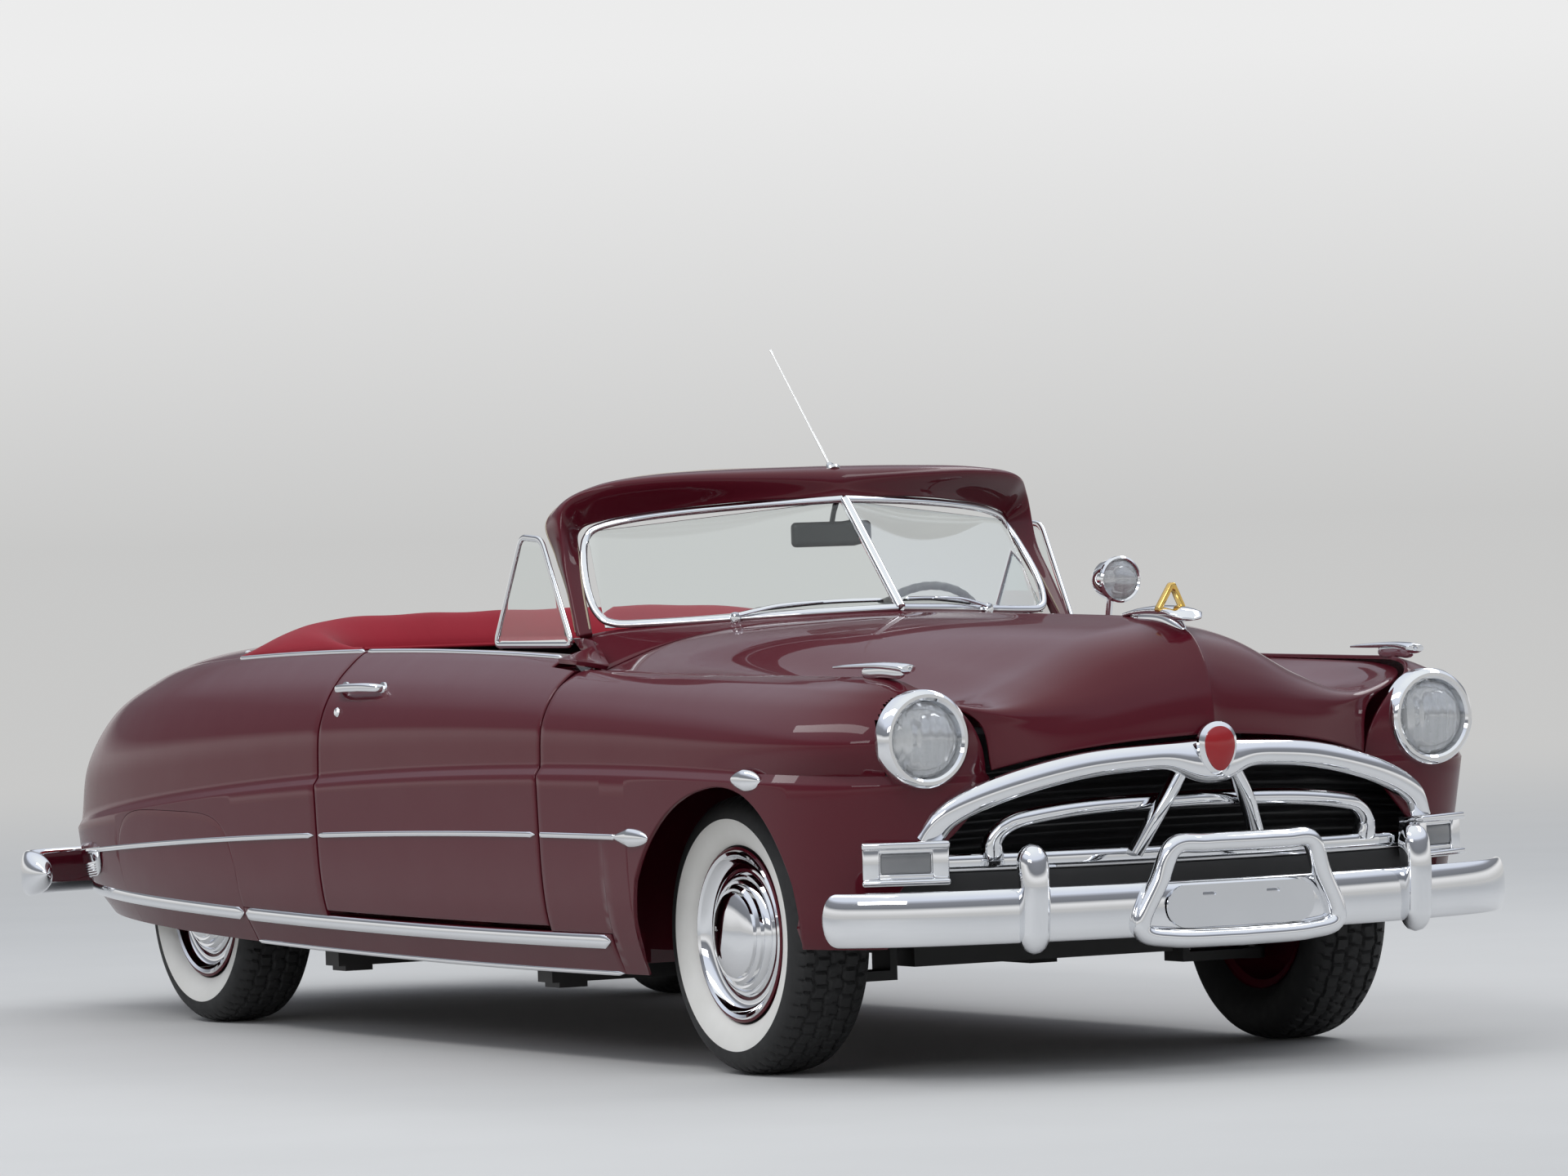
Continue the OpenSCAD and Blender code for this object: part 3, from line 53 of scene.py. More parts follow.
# %% Set the camera
CAMERA_PLACE = (18.26327, -9.87783, 1.31876)
CAMERA_YAW, CAMERA_PITCH, CAMERA_ROLL = (math.radians(a) for a in (151.0143, -0.43452, -1.75539))
SENSOR_WIDTH, PICTURE_WIDTH, FOCAL_PIXELS = 36.0, 1920, 9587.0
CAMERA_LENS = FOCAL_PIXELS * SENSOR_WIDTH / PICTURE_WIDTH


def camera_axes(yaw, pitch, roll):
    """Right, up and backward axes: forward from yaw and pitch, then right and up turned by the roll."""
    forward = np.array([math.cos(pitch) * math.cos(yaw), math.cos(pitch) * math.sin(yaw), math.sin(pitch)])
    right = np.array([math.sin(yaw), -math.cos(yaw), 0.0])
    up = np.cross(right, forward)
    turned = math.cos(roll) * right + math.sin(roll) * up
    upright = -math.sin(roll) * right + math.cos(roll) * up
    return turned, upright, -forward


camera_data = bpy.data.cameras.new("camera")
camera_data.sensor_width = SENSOR_WIDTH
camera_data.lens = CAMERA_LENS
camera_data.clip_end = 200
camera = bpy.data.objects.new("camera", camera_data)
bpy.context.scene.collection.objects.link(camera)
placing = np.eye(4)
placing[:3, :3] = np.array(camera_axes(CAMERA_YAW, CAMERA_PITCH, CAMERA_ROLL)).T
placing[:3, 3] = CAMERA_PLACE
camera.matrix_world = Matrix(placing.tolist())
bpy.context.scene.camera = camera
print("lens", round(CAMERA_LENS, 1), "mm")

# %% [markdown]
# ## From arrays to meshes
# Every new piece is a surface worked out with numpy, in millimetres, and goes into Blender in one
# step. A part is a pair: points and four-cornered faces. A face that repeats a corner becomes a
# triangle, so poles and caps need no special care. Closed parts are turned so that they face outwards.

# %% Parts, and the piece that they make
MM = 0.001
FLIP = np.array([1, -1, 1])
PIECES = {}


def grid_quads(rows, columns, close_rows=False, close_columns=False):
    """Faces of a rows x columns grid of points, optionally closed round in either direction."""
    i = np.arange(rows if close_rows else rows - 1)
    j = np.arange(columns if close_columns else columns - 1)
    a, b = np.meshgrid(i, j, indexing="ij")
    c, d = (a + 1) % rows, (b + 1) % columns
    corners = [a * columns + b, a * columns + d, c * columns + d, c * columns + b]
    return np.stack([k.ravel() for k in corners], axis=1)


def xyz(x, y, z):
    """Points from their coordinates, which may be single numbers or arrays that fit each other."""
    return np.stack(np.broadcast_arrays(x, y, z), axis=-1)


def circle(count):
    """Angles of count points round a circle."""
    return np.linspace(0, 2 * np.pi, count, endpoint=False)


def joined(*parts):
    """Several parts as one."""
    counts = np.cumsum([0] + [len(p) for p, _ in parts])
    return np.concatenate([p for p, _ in parts]), np.concatenate([f + k for (_, f), k in zip(parts, counts)])


def facing_out(part):
    """The part with its faces turned so that the volume they enclose is positive."""
    points, quads = part
    p = points - points.mean(axis=0)
    a, b, c, d = (p[quads[:, k]] for k in range(4))
    volume = np.einsum("ij,ij->", a, np.cross(b, c)) + np.einsum("ij,ij->", a, np.cross(c, d))
    return (points, quads[:, ::-1]) if volume < 0 else part


def capped(rings, ends):
    """Closed part from rings of points: walls from ring to ring, and a fan to a middle point at each end."""
    rows, count = rings.shape[:2]
    here = np.arange(count)
    after, last = np.roll(here, -1), (rows - 1) * count
    low, high = np.full(count, rows * count), np.full(count, rows * count + 1)
    fans = [np.stack([after, here, low, low], axis=1),
            np.stack([here + last, after + last, high, high], axis=1)]
    quads = np.concatenate([grid_quads(rows, count, close_columns=True)] + fans)
    return facing_out((np.concatenate([rings.reshape(-1, 3), ends]), quads))


def mirrored(part):
    """The part on the car's other side."""
    points, quads = part
    return points * FLIP, quads[:, ::-1]


def both(part):
    """The part on the left together with its mirror image on the right."""
    return joined(part, mirrored(part))


def whole(half):
    """Rows from right to left, from the left half's rows, the first of which lies in the middle plane."""
    return np.concatenate([half[:0:-1] * FLIP, half])


def over(half):
    """Path from the left end to the right one, from its left half, which ends in the middle plane."""
    return np.concatenate([half, half[-2::-1] * FLIP])


def merged(points, quads, step=0.02):
    """Points closer than the step become one, and faces lose repeated corners: corner lists and sizes."""
    _, first, where = np.unique(np.round(points / step).astype(np.int64), axis=0, return_index=True,
                                return_inverse=True)
    faces = where.reshape(-1)[quads]
    keep = faces != np.roll(faces, 1, axis=1)
    sizes = keep.sum(axis=1)
    crossed = (faces[:, 0] == faces[:, 2]) | (faces[:, 1] == faces[:, 3])
    good = (sizes >= 3) & ~crossed
    return points[first], faces[good][keep[good]], sizes[good]


def piece(name, part, finish, body, slot, *nodes, sharp=38, tint=None):
    """A Blender object from a part: it rides on a body and may stand for CAD nodes. tint, one number for
    each face, chooses among several finishes."""
    points, quads = part
    used, corners, sizes = merged(points, quads)
    mesh = bpy.data.meshes.new(name)
    mesh.vertices.add(len(used))
    mesh.vertices.foreach_set("co", (used * MM).astype(np.float32).ravel())
    mesh.loops.add(len(corners))
    mesh.loops.foreach_set("vertex_index", corners.astype(np.int32))
    mesh.polygons.add(len(sizes))
    mesh.polygons.foreach_set("loop_start", np.concatenate([[0], np.cumsum(sizes)[:-1]]).astype(np.int32))
    mesh.update(calc_edges=True)
    mesh.validate()
    mesh.shade_smooth()
    mesh.set_sharp_from_angle(angle=math.radians(sharp))
    made = bpy.data.objects.new(name, mesh)
    bpy.context.scene.collection.objects.link(made)
    for each in finish if isinstance(finish, (list, tuple)) else [finish]:
        mesh.materials.append(each)
    if tint is not None:
        middles = np.zeros(len(mesh.polygons) * 3)
        mesh.polygons.foreach_get("center", middles)
        chosen = tint(middles.reshape(-1, 3) / MM)
        mesh.polygons.foreach_set("material_index", chosen.astype(np.int32))
    if nodes:
        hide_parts(*nodes)
    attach(made, body)
    PIECES[name] = len(mesh.polygons)
    return made


def painted(name, part, *nodes, body="chassis", **more):
    """A piece in the car's colour."""
    return piece(name, part, burgundy, body, "body_paint", *nodes, **more)


def plated(name, part, *nodes, body="chassis", **more):
    """A piece of bright trim."""
    return piece(name, part, chrome, body, "bright_trim", *nodes, **more)


SIDES = {"left": lambda part: part, "right": mirrored}

# %% [markdown]
# ## Three ways to make a surface
# Pressed sheet, bent bar and spun ring cover nearly the whole car. A panel is a grid of points with a
# rounded hem on all four sides and a wall behind it. A bar is a section carried along a path. A
# spun part is a profile turned about an axis.

# %% Panels
def unit(v):
    """Vectors scaled to the length 1."""
    return v / np.maximum(np.linalg.norm(v, axis=-1, keepdims=True), 1e-9)


def grid_frame(grid):
    """Unit tangents along rows and columns, and the unit normal, at every grid point."""
    along = unit(np.gradient(grid, axis=0))
    across = unit(np.gradient(grid, axis=1))
    return along, across, unit(np.cross(along, across))


def hem_plan(count, radius, steps=3):
    """For each row of a hemmed grid: the row it comes from, its shift inwards and its depth. The hem is a
    quarter circle of the given radius, from the inset surface over to the edge."""
    a = np.linspace(np.pi / 2, 0, steps + 1)
    inset, depth = radius * (1 - np.sin(a)), radius * (1 - np.cos(a))
    inside = np.arange(1, count - 1)
    base = np.concatenate([np.zeros(steps + 1, int), inside, np.full(steps + 1, count - 1)])
    zero = np.zeros(len(inside))
    return base, np.concatenate([inset, zero, -inset[::-1]]), np.concatenate([depth, zero, depth[::-1]])


def walled(outer, inner):
    """Closed part between two grids of the same shape: both faces, and walls along the four edges."""
    rows, columns = outer.shape[:2]
    quads = grid_quads(rows, columns)
    at = np.arange(rows * columns).reshape(rows, columns)
    loop = np.concatenate([at[0, :-1], at[:-1, -1], at[-1, :0:-1], at[:0:-1, 0]])
    after = np.roll(loop, -1)
    shift = rows * columns
    wall = np.stack([loop, loop + shift, after + shift, after], axis=1)
    points = np.concatenate([outer.reshape(-1, 3), inner.reshape(-1, 3)])
    return facing_out((points, np.concatenate([quads, quads[:, ::-1] + shift, wall])))


def panel(grid, thickness=10, hem=3.0, outward=None, inner=None):
    """Closed sheet behind a grid of points. outward is a rough direction to the outside; inner, where
    given, is the grid of the other face."""
    along, across, normal = grid_frame(grid)
    if outward is not None and np.einsum("ijk,k->", normal, np.array(outward, float)) < 0:
        normal = -normal
    i, inset_i, depth_i = hem_plan(grid.shape[0], hem)
    j, inset_j, depth_j = hem_plan(grid.shape[1], hem)
    pick = np.ix_(i, j)
    edge = grid[pick] + inset_i[:, None, None] * along[pick] + inset_j[None, :, None] * across[pick]
    depth = np.maximum(depth_i[:, None], depth_j[None, :])[..., None]
    outer = edge - depth * normal[pick]
    back = edge - thickness * normal[pick] if inner is None else inner[pick]
    return walled(outer, back)


# %% Bars and spun parts
def cubic(a, b, c, d, f):
    """Catmull-Rom curve from b to c at share f: its slopes are half of c less a, and half of d less b."""
    return (b + f * (c - a) / 2 + f**2 * (a - 2.5 * b + 2 * c - d / 2)
            + f**3 * (1.5 * b - a / 2 - 1.5 * c + d / 2))


def spline(table, t):
    """Smooth curve through the table's rows, at t counted in rows."""
    rows = np.asarray(table, float)
    t = np.asarray(t, float)
    i = np.clip(np.floor(t).astype(int), 0, len(rows) - 2)
    f = (t - i)[..., None]
    p = np.concatenate([[2 * rows[0] - rows[1]], rows, [2 * rows[-1] - rows[-2]]])
    return cubic(p[i], p[i + 1], p[i + 2], p[i + 3], f)


def through(points, count):
    """Path of count points on the smooth curve through a few."""
    return spline(points, np.linspace(0, len(points) - 1, count))


def oval(width, height, sides=24, power=2.6):
    """Rounded section: the curve |x|^p + |y|^p = 1, stretched to width and height."""
    a = circle(sides)
    r = (np.abs(np.cos(a)) ** power + np.abs(np.sin(a)) ** power) ** (-1 / power)
    return np.stack([width / 2 * r * np.cos(a), height / 2 * r * np.sin(a)], axis=1)


def between_corners(a, b, c, d, rows, columns):
    """Flat grid with rows from a to b and columns from there to the line from d to c."""
    u, w = np.linspace(0, 1, rows)[:, None, None], np.linspace(0, 1, columns)[None, :, None]
    return (a * (1 - u) + b * u) * (1 - w) + (d * (1 - u) + c * u) * w


def bar(path, section, up=(0, 0, 1), size=None, closed=False):
    """Section carried along a path; its first axis points to the path's right and its second up. size
    scales it at each point: a number for each, or a pair for its two axes. Open ends are capped."""
    path = np.asarray(path, float)
    if closed:
        way = np.roll(path, -1, axis=0) - np.roll(path, 1, axis=0)
    else:
        way = np.gradient(path, axis=0)
    way = unit(way)
    side = unit(np.cross(way, np.broadcast_to(np.asarray(up, float), way.shape)))
    top = np.cross(side, way)
    scale = np.ones((len(path), 2))
    if size is not None:
        scale = scale * np.asarray(size, float).reshape(len(path), -1)
    flat = scale[:, None, :] * section[None]
    rings = path[:, None] + flat[..., :1] * side[:, None] + flat[..., 1:] * top[:, None]
    if not closed:
        return capped(rings, path[[0, -1]])
    quads = grid_quads(len(path), len(section), close_rows=True, close_columns=True)
    return facing_out((rings.reshape(-1, 3), quads))


def rounded_ends(count, share=0.12, power=2.0):
    """Sizes along a bar that closes in a round nose at both ends."""
    t = np.linspace(0, 1, count)
    s = np.clip(np.minimum(t, 1 - t) / share, 0, 1)
    return np.maximum((1 - (1 - s) ** power) ** (1 / power), 0.02)


def spun(profile, centre, axis, around=96):
    """Profile of radius and distance along the axis, turned about the axis through the centre."""
    profile = np.asarray(profile, float)
    n = unit(np.asarray(axis, float))
    side = unit(np.cross(n, [0, 0, 1] if abs(n[2]) < 0.9 else [1, 0, 0]))
    top = np.cross(n, side)
    a = circle(around)
    ring = np.cos(a)[:, None] * side + np.sin(a)[:, None] * top
    points = np.asarray(centre, float) + profile[:, None, :1] * ring + profile[:, None, 1:] * n
    return facing_out((points.reshape(-1, 3), grid_quads(len(profile), around, close_columns=True)))


def block(low, high, round_by=6.0, steps=3):
    """Box with rounded edges: outlines with round corners, stacked between two rounded ends."""
    low, high = np.asarray(low, float), np.asarray(high, float)
    centre, half = (low + high) / 2, (high - low) / 2
    a = np.linspace(0, np.pi / 2, steps + 1)
    turn = np.stack([np.cos(a), np.sin(a)], axis=1)
    ring = np.concatenate([turn, turn[:, ::-1] * [-1, 1], -turn, turn[:, ::-1] * [1, -1]])
    r = min(round_by, *(0.98 * half))
    signs = [(1, 1), (-1, 1), (-1, -1), (1, -1)]
    base = np.concatenate([np.tile(np.array(s) * (half[:2] - r), (steps + 1, 1)) for s in signs])
    level = np.concatenate([-half[2] + r - r * np.sin(a[::-1]), half[2] - r + r * np.sin(a)])
    grow = np.concatenate([np.cos(a[::-1]), np.cos(a)]) * r
    rings = np.stack([np.concatenate([base + g * ring, np.full((len(base), 1), z)], axis=1)
                      for g, z in zip(grow, level)])
    return capped(rings + centre, np.array([[0, 0, -half[2]], [0, 0, half[2]]]) + centre)


print("surface makers ready")

# %% [markdown]
# ## Finishes
# A finish is a node tree. Writing it as arithmetic keeps it readable, so a small class wraps each
# socket: adding or multiplying two values puts the matching Math node into the tree, and everything
# else comes through one method that sets a node's options first and its sockets after.
# Patterns read Object coordinates, in metres, so grain and weave keep their real scale.

# %% Shader arithmetic
class Value:
    """A socket of a finish, on which plain arithmetic works."""

    def __init__(self, finish, socket):
        self.finish, self.socket = finish, socket

    def math(self, operation, other):
        """A Math node with this value and another one."""
        return self.finish.add("Math", {"operation": operation}, {0: self, 1: other})

    def __add__(self, other):
        return self.math("ADD", other)

    def __mul__(self, other):
        return self.math("MULTIPLY", other)


class Finish:
    """One material in the making, with its Principled surface."""

    def __init__(self, name, **fixed):
        self.material = bpy.data.materials.new(name)
        self.material.use_nodes = True
        self.tree = self.material.node_tree
        self.surface = self.tree.nodes["Principled BSDF"]
        for socket, value in fixed.items():
            self.surface.inputs[socket.replace("_", " ")].default_value = value

    def add(self, kind, settings=None, sockets=None, out=0):
        """A node of the given type: its settings come first, then the values or links of its sockets."""
        node = self.tree.nodes.new("ShaderNode" + kind)
        for key, value in (settings or {}).items():
            if key == "stops":
                ramp = node.color_ramp.elements
                while len(ramp) < len(value):
                    ramp.new(0.5)
                for stop, (place, colour) in zip(ramp, value):
                    stop.position, stop.color = place, colour
            else:
                setattr(node, key, value)
        for key, value in (sockets or {}).items():
            self.feed(node.inputs[key], value)
        return Value(self, node.outputs[out])

    def feed(self, socket, value):
        """Link a value to a socket, or set the socket to a plain number or colour."""
        if isinstance(value, Value):
            self.tree.links.new(value.socket, socket)
        else:
            socket.default_value = value

    def at(self, turn=(0, 0, 0)):
        """Object coordinates in metres, turned."""
        return self.add("Mapping", {}, {"Vector": self.add("TexCoord", out="Object"), "Rotation": turn})

    def noise(self, scale, detail, roughness=0.5):
        """Cloudy pattern from 0 to 1, with scale clouds to the metre."""
        where = self.add("TexCoord", out="Object")
        return self.add("TexNoise", {}, {"Vector": where, "Scale": scale, "Detail": detail,
                                         "Roughness": roughness})

    def wave(self, scale, vector):
        """Sine waves from 0 to 1 along the vector's X."""
        return self.add("TexWave", {"wave_profile": "SIN", "bands_direction": "X"},
                        {"Vector": vector, "Scale": scale})

    def between(self, value, low, high):
        """The value carried from the range 0 to 1 to the range low to high."""
        return value * (high - low) + low

    def bumpy(self, height, strength, distance):
        """The finished material, whose normal follows a height in units of the distance."""
        bump = self.add("Bump", {}, {"Height": height, "Strength": strength, "Distance": distance})
        self.feed(self.surface.inputs["Normal"], bump)
        return self.material

    def colour(self, factor, dark, light):
        """Base colour that passes from dark to light with the factor."""
        blend = self.add("Mix", {"data_type": "RGBA"}, {0: factor, 6: rgb(*dark), 7: rgb(*light)}, out=2)
        self.feed(self.surface.inputs["Base Color"], blend)

    def rough(self, value, low, high):
        """Roughness that passes from low to high with the value."""
        self.feed(self.surface.inputs["Roughness"], self.between(value, low, high))


def rgb(red, green, blue):
    """A colour with full opacity."""
    return (red, green, blue, 1.0)


# %% [markdown]
# ### Paint, plate and bare metal
# The burgundy is a deep red under a clear coat: the pigment has faint mottling and the coat a trace of
# orange peel. Chrome is a mirror whose polish varies a little, and the metals below are duller, with
# oil stains and casting grain.

# %% Paint and metals
def lacquer(name, dark, light):
    """Paint under a clear coat: faint mottling, and a trace of orange peel."""
    f = Finish(name, Specular_IOR_Level=0.1, Coat_Weight=0.55, Coat_Roughness=0.012, Coat_IOR=1.5)
    f.colour(f.noise(900, 1.0), dark, light)
    f.rough(f.noise(6, 3.0), 0.4, 0.55)
    return f.bumpy(f.noise(260, 1.0), 0.012, 0.001)


def plating(name, colour, low, high):
    """Polished metal: its roughness is tarnish times a finer grain."""
    f = Finish(name, Metallic=1.0)
    tarnish = f.noise(9, 4.0)
    f.colour(tarnish, colour, [0.93 * c for c in colour])
    f.rough(tarnish * f.noise(120, 2.0), low, high)
    return f.bumpy(f.noise(14, 1.0), 0.01, 0.002)


def rough_metal(name, dark, light, metallic, roughness, grain=700):
    """Dull metal, where stains are rougher."""
    f = Finish(name, Metallic=metallic)
    stain = f.noise(7, 5.0, roughness=0.6)
    f.colour(stain, dark, light)
    f.rough(stain, roughness, roughness + 0.2)
    return f.bumpy(f.noise(grain, 3.0), 0.25, 0.001)


burgundy = lacquer("burgundy lacquer", (0.07, 0.0032, 0.0095), (0.096, 0.005, 0.0135))
chrome = plating("chrome plate", (0.86, 0.87, 0.89), 0.02, 0.11)
stainless = plating("polished stainless", (0.74, 0.74, 0.73), 0.12, 0.3)
gold = plating("gilt loop", (0.86, 0.56, 0.16), 0.1, 0.25)
chassis_black = rough_metal("chassis black", (0.012, 0.012, 0.013), (0.03, 0.029, 0.028), 0.0, 0.45)
oiled_steel = rough_metal("oiled steel", (0.16, 0.155, 0.15), (0.3, 0.295, 0.29), 0.9, 0.38)
iron = rough_metal("painted casting", (0.05, 0.052, 0.056), (0.1, 0.1, 0.1), 0.3, 0.5, 350)

# %% [markdown]
# ### Rubber, cloth, leather and glass
# Canvas shows two crossing sets of threads; leather a cellular grain; carpet short tufts. Their
# height goes to a Bump node. Lamp glass carries upright flutes, and window glass stays thin and clear.

# %% Soft finishes and glass
WAVE_TURN, ACROSS = 6.28, (0, 0, math.pi / 2)


def woven(name, dark, light, threads=900):
    """Cloth: the product of two crossing waves, with faint patches."""
    f = Finish(name, Roughness=0.85, Specular_IOR_Level=0.25, Sheen_Weight=0.06, Sheen_Roughness=0.4)
    warp = f.wave(threads / WAVE_TURN, f.at())
    weft = f.wave(threads / WAVE_TURN, f.at(turn=ACROSS))
    cloth = warp * weft
    patch = f.noise(5, 4.0)
    f.colour(f.between(cloth, 0.0, 0.45) + patch * 0.55, dark, light)
    return f.bumpy(cloth + f.noise(400, 2.0) * 0.5, 0.35, 0.0006)


def hide(name, dark, light):
    """Leather: the distance to the edges of small cells gives its grain."""
    f = Finish(name, Specular_IOR_Level=0.45)
    cells = f.add("TexVoronoi", {"feature": "DISTANCE_TO_EDGE"}, {"Vector": f.at(), "Scale": 420.0})
    f.colour(f.noise(8, 4.0), dark, light)
    f.rough(f.noise(30, 3.0), 0.38, 0.55)
    return f.bumpy(cells * 1.4 + f.noise(60, 2.0) * 0.4, 0.25, 0.0008)


def tufted(name, dark, light):
    """Carpet: one fine noise for colour and height."""
    f = Finish(name, Roughness=0.95, Sheen_Weight=0.3)
    tuft = f.noise(420, 2.0)
    f.colour(tuft * 0.7 + f.noise(9, 3.0) * 0.3, dark, light)
    return f.bumpy(tuft, 0.8, 0.003)


def moulded(name, dark, light, low=0.25, high=0.4, grain=500, height=0.05):
    """Rubber, plastic or enamel with a fine grain."""
    f = Finish(name)
    f.colour(f.noise(12, 3.0), dark, light)
    f.rough(f.noise(40, 3.0), low, high)
    return f.bumpy(f.noise(grain, 2.0), height, 0.0008)


def clear_glass(name, tint, roughness=0.0):
    """Window glass."""
    f = Finish(name, Transmission_Weight=1.0, IOR=1.45, Roughness=roughness, Base_Color=rgb(*tint))
    f.rough(f.noise(3, 2.0), roughness, roughness + 0.02)
    return f.material


def fluted_glass(name, tint, flutes=70):
    """Lamp glass: upright ribs plus wide, flat bands."""
    f = Finish(name, Transmission_Weight=0.76, IOR=1.48, Base_Color=rgb(*tint))
    f.rough(f.noise(25, 2.0), 0.03, 0.09)
    ribs = f.wave(flutes / WAVE_TURN, f.at(turn=ACROSS))
    bands = f.wave(flutes / 14, f.at(turn=(0, math.pi / 2, 0)))
    return f.bumpy(ribs + bands * 0.4, 0.5, 0.004)


canvas = woven("red canvas", (0.22, 0.007, 0.017), (0.35, 0.013, 0.03))
leather = hide("dark red leather", (0.085, 0.008, 0.011), (0.135, 0.014, 0.018))
carpet = tufted("maroon carpet", (0.035, 0.006, 0.008), (0.07, 0.012, 0.015))
rubber = moulded("tyre rubber", (0.008, 0.008, 0.0085), (0.019, 0.019, 0.019), 0.55, 0.8, 900, 0.2)
white_band = moulded("white sidewall", (0.68, 0.67, 0.63), (0.8, 0.79, 0.76), 0.5, 0.65, 300, 0.05)
wheel_plastic = moulded("steering plastic", (0.16, 0.145, 0.13), (0.21, 0.195, 0.175), 0.22, 0.34)
black_plastic = moulded("black plastic", (0.012, 0.012, 0.013), (0.022, 0.022, 0.023), 0.3, 0.5)
trim_cloth = woven("beige lining", (0.36, 0.3, 0.22), (0.48, 0.41, 0.31), 1200)
dial_face = moulded("dial face", (0.62, 0.56, 0.42), (0.7, 0.64, 0.5), 0.3, 0.4)
enamel = moulded("red enamel", (0.3, 0.012, 0.016), (0.36, 0.018, 0.022), 0.08, 0.14, 200, 0.01)
grey_lens = moulded("grey lens", (0.2, 0.205, 0.21), (0.27, 0.275, 0.28), 0.06, 0.12, 260, 0.02)
window_glass = clear_glass("window glass", (0.93, 0.97, 0.96))
lamp_glass = fluted_glass("fluted lamp glass", (0.94, 0.95, 0.95))
red_glass = fluted_glass("red lens glass", (0.6, 0.012, 0.014), 160)
print("finishes", len(bpy.data.materials))

# %% [markdown]
# ## The body's side
# The whole side of the car, from the nose to the tail, is one stack of levels. Each level has a height
# at three places, an inset from the widest line and a reach to the front and to the rear; its
# outline is straight beside the doors and rounded at both ends. A crease runs between levels 3 and 4,
# and the belt is level 8. The numbers repeat those of the solids, so that the smooth panels lie on them.

# %% Levels of the side
AXLE_F, AXLE_R, HALF_W = 1640.0, -1510.0, 978.0
FENDER_X, QUARTER_X, STERN_X, TAIL_X = 890.0, -400.0, -60.0, -2400.0
BELT, CREASE, TAIL_POWER, GAP, SEAM = 8.0, 3.0, 4.7, 8.0, 0.8
LEVEL_HEAD = "z front, z door, z tail, inset, front reach, tail reach, front power"
LOW_LEVELS = np.array([
    [238, 238, 300, 75, 640, 960, 6], [340, 335, 385, 32, 705, 1040, 6],
    [470, 460, 450, 10, 730, 1062, 6], [722, 680, 512, 0, 742, 1070, 7]], float)
HIGH_LEVELS = np.array([
    [744, 700, 534, 14, 740, 1066, 7], [835, 830, 690, 22, 738, 1020, 10],
    [908, 930, 830, 65, 728, 880, 10], [950, 1000, 905, 130, 700, 690, 12],
    [962, 1030, 935, 178, 672, 560, 14], [967, 1040, 940, 236, 655, 540, 14]], float)


def level_row(v):
    """Row of the level table at level v: smooth below and above the crease, straight across it."""
    v = np.asarray(v, float)
    low, high = spline(LOW_LEVELS, np.clip(v, 0, 3)), spline(HIGH_LEVELS, np.clip(v - 4, 0, 5))
    share = np.clip(v - CREASE, 0, 1)[..., None]
    return low * (1 - share) + high * share


def level_z(x, row):
    """Height of a level at x: the parabola through its three heights."""
    a, b, c = AXLE_F, QUARTER_X, TAIL_X
    return (row[..., 0] * (x - b) * (x - c) / ((a - b) * (a - c))
            + row[..., 1] * (x - a) * (x - c) / ((b - a) * (b - c))
            + row[..., 2] * (x - a) * (x - b) / ((c - a) * (c - b)))


def height_at(x, v):
    """Height of level v at each x."""
    return level_z(x, level_row(np.broadcast_to(np.asarray(v, float), np.shape(x))))


def rounded(s, power):
    """Height of the curve |s|^p + |c|^p = 1 at s."""
    return np.maximum(1 - np.clip(s, 0, None) ** power, 0) ** (1 / power)


def level_w(row):
    """Half width of a level: the car's, less the level's inset."""
    return HALF_W - row[..., 3]


def bow(row):
    """Length of a level's round front end."""
    return AXLE_F + row[..., 4] - FENDER_X


def stern(row):
    """Length of a level's round rear end."""
    return STERN_X - AXLE_R + row[..., 5]


def side_point(x, v):
    """Point of the left side at x on level v."""
    x, v = np.broadcast_arrays(np.asarray(x, float), np.asarray(v, float))
    row = level_row(v)
    front = rounded((x - FENDER_X) / bow(row), row[..., 6])
    back = rounded((STERN_X - x) / stern(row), TAIL_POWER)
    return xyz(x, level_w(row) * np.where(x > FENDER_X, front, back), level_z(x, row))


def side_at(x, z):
    """Point of the left side at x and height z."""
    levels = np.linspace(0, 9, 181)
    v = np.array([np.interp(h, level_z(a, level_row(levels)), levels)
                  for a, h in zip(*np.broadcast_arrays(np.atleast_1d(x), np.atleast_1d(z)))])
    return side_point(x, v)


def level_of(x, z):
    """Level whose height at each x is z, read off straight lines between whole levels."""
    levels = np.arange(9.0)
    return np.array([np.interp(h, level_z(a, level_row(levels)), levels) for a, h in zip(x, z)])


def corner(a, power):
    """Point where the ray at angle a meets the curve |s|^p + |c|^p = 1."""
    s, c = np.sin(a), np.cos(a)
    r = (np.abs(s) ** power + np.abs(c) ** power) ** (1 / power)
    return s / r, c / r


print(LEVEL_HEAD)

# %% [markdown]
# ## Front fenders
# A fender starts at the door, passes over the wheel and turns round the headlamp to the front face in
# one pressing. Its columns are closest where the wheel's arch is steep; its rows start at the arch's
# edge and end at the crown beside the hood. A round hole takes the headlamp.

# %% Fender panels
ARCH_X, ARCH_R, ARCH_FOOT, ARCH_RISE, ARCH_LEAN, ARCH_POWER = AXLE_F + 85, 372.0, 330.0, 366.0, 0.18, 2.3
APRON_Z, SILL_FRONT = 322.0, FENDER_X + 335
FACE_EDGE = np.array([770, 752, 742, 534, 531, 549, 596, 655, 692, 716], float)
HEADLAMP = np.array([2244.0, 710.0, 814.0])
CURL, CURL_Y, LAMP_HOLE, HOLE_REAR = 28.0, 640.0, 110.0, 2150.0
CREASE_LEVELS = [3.25, 3.5, 3.75]


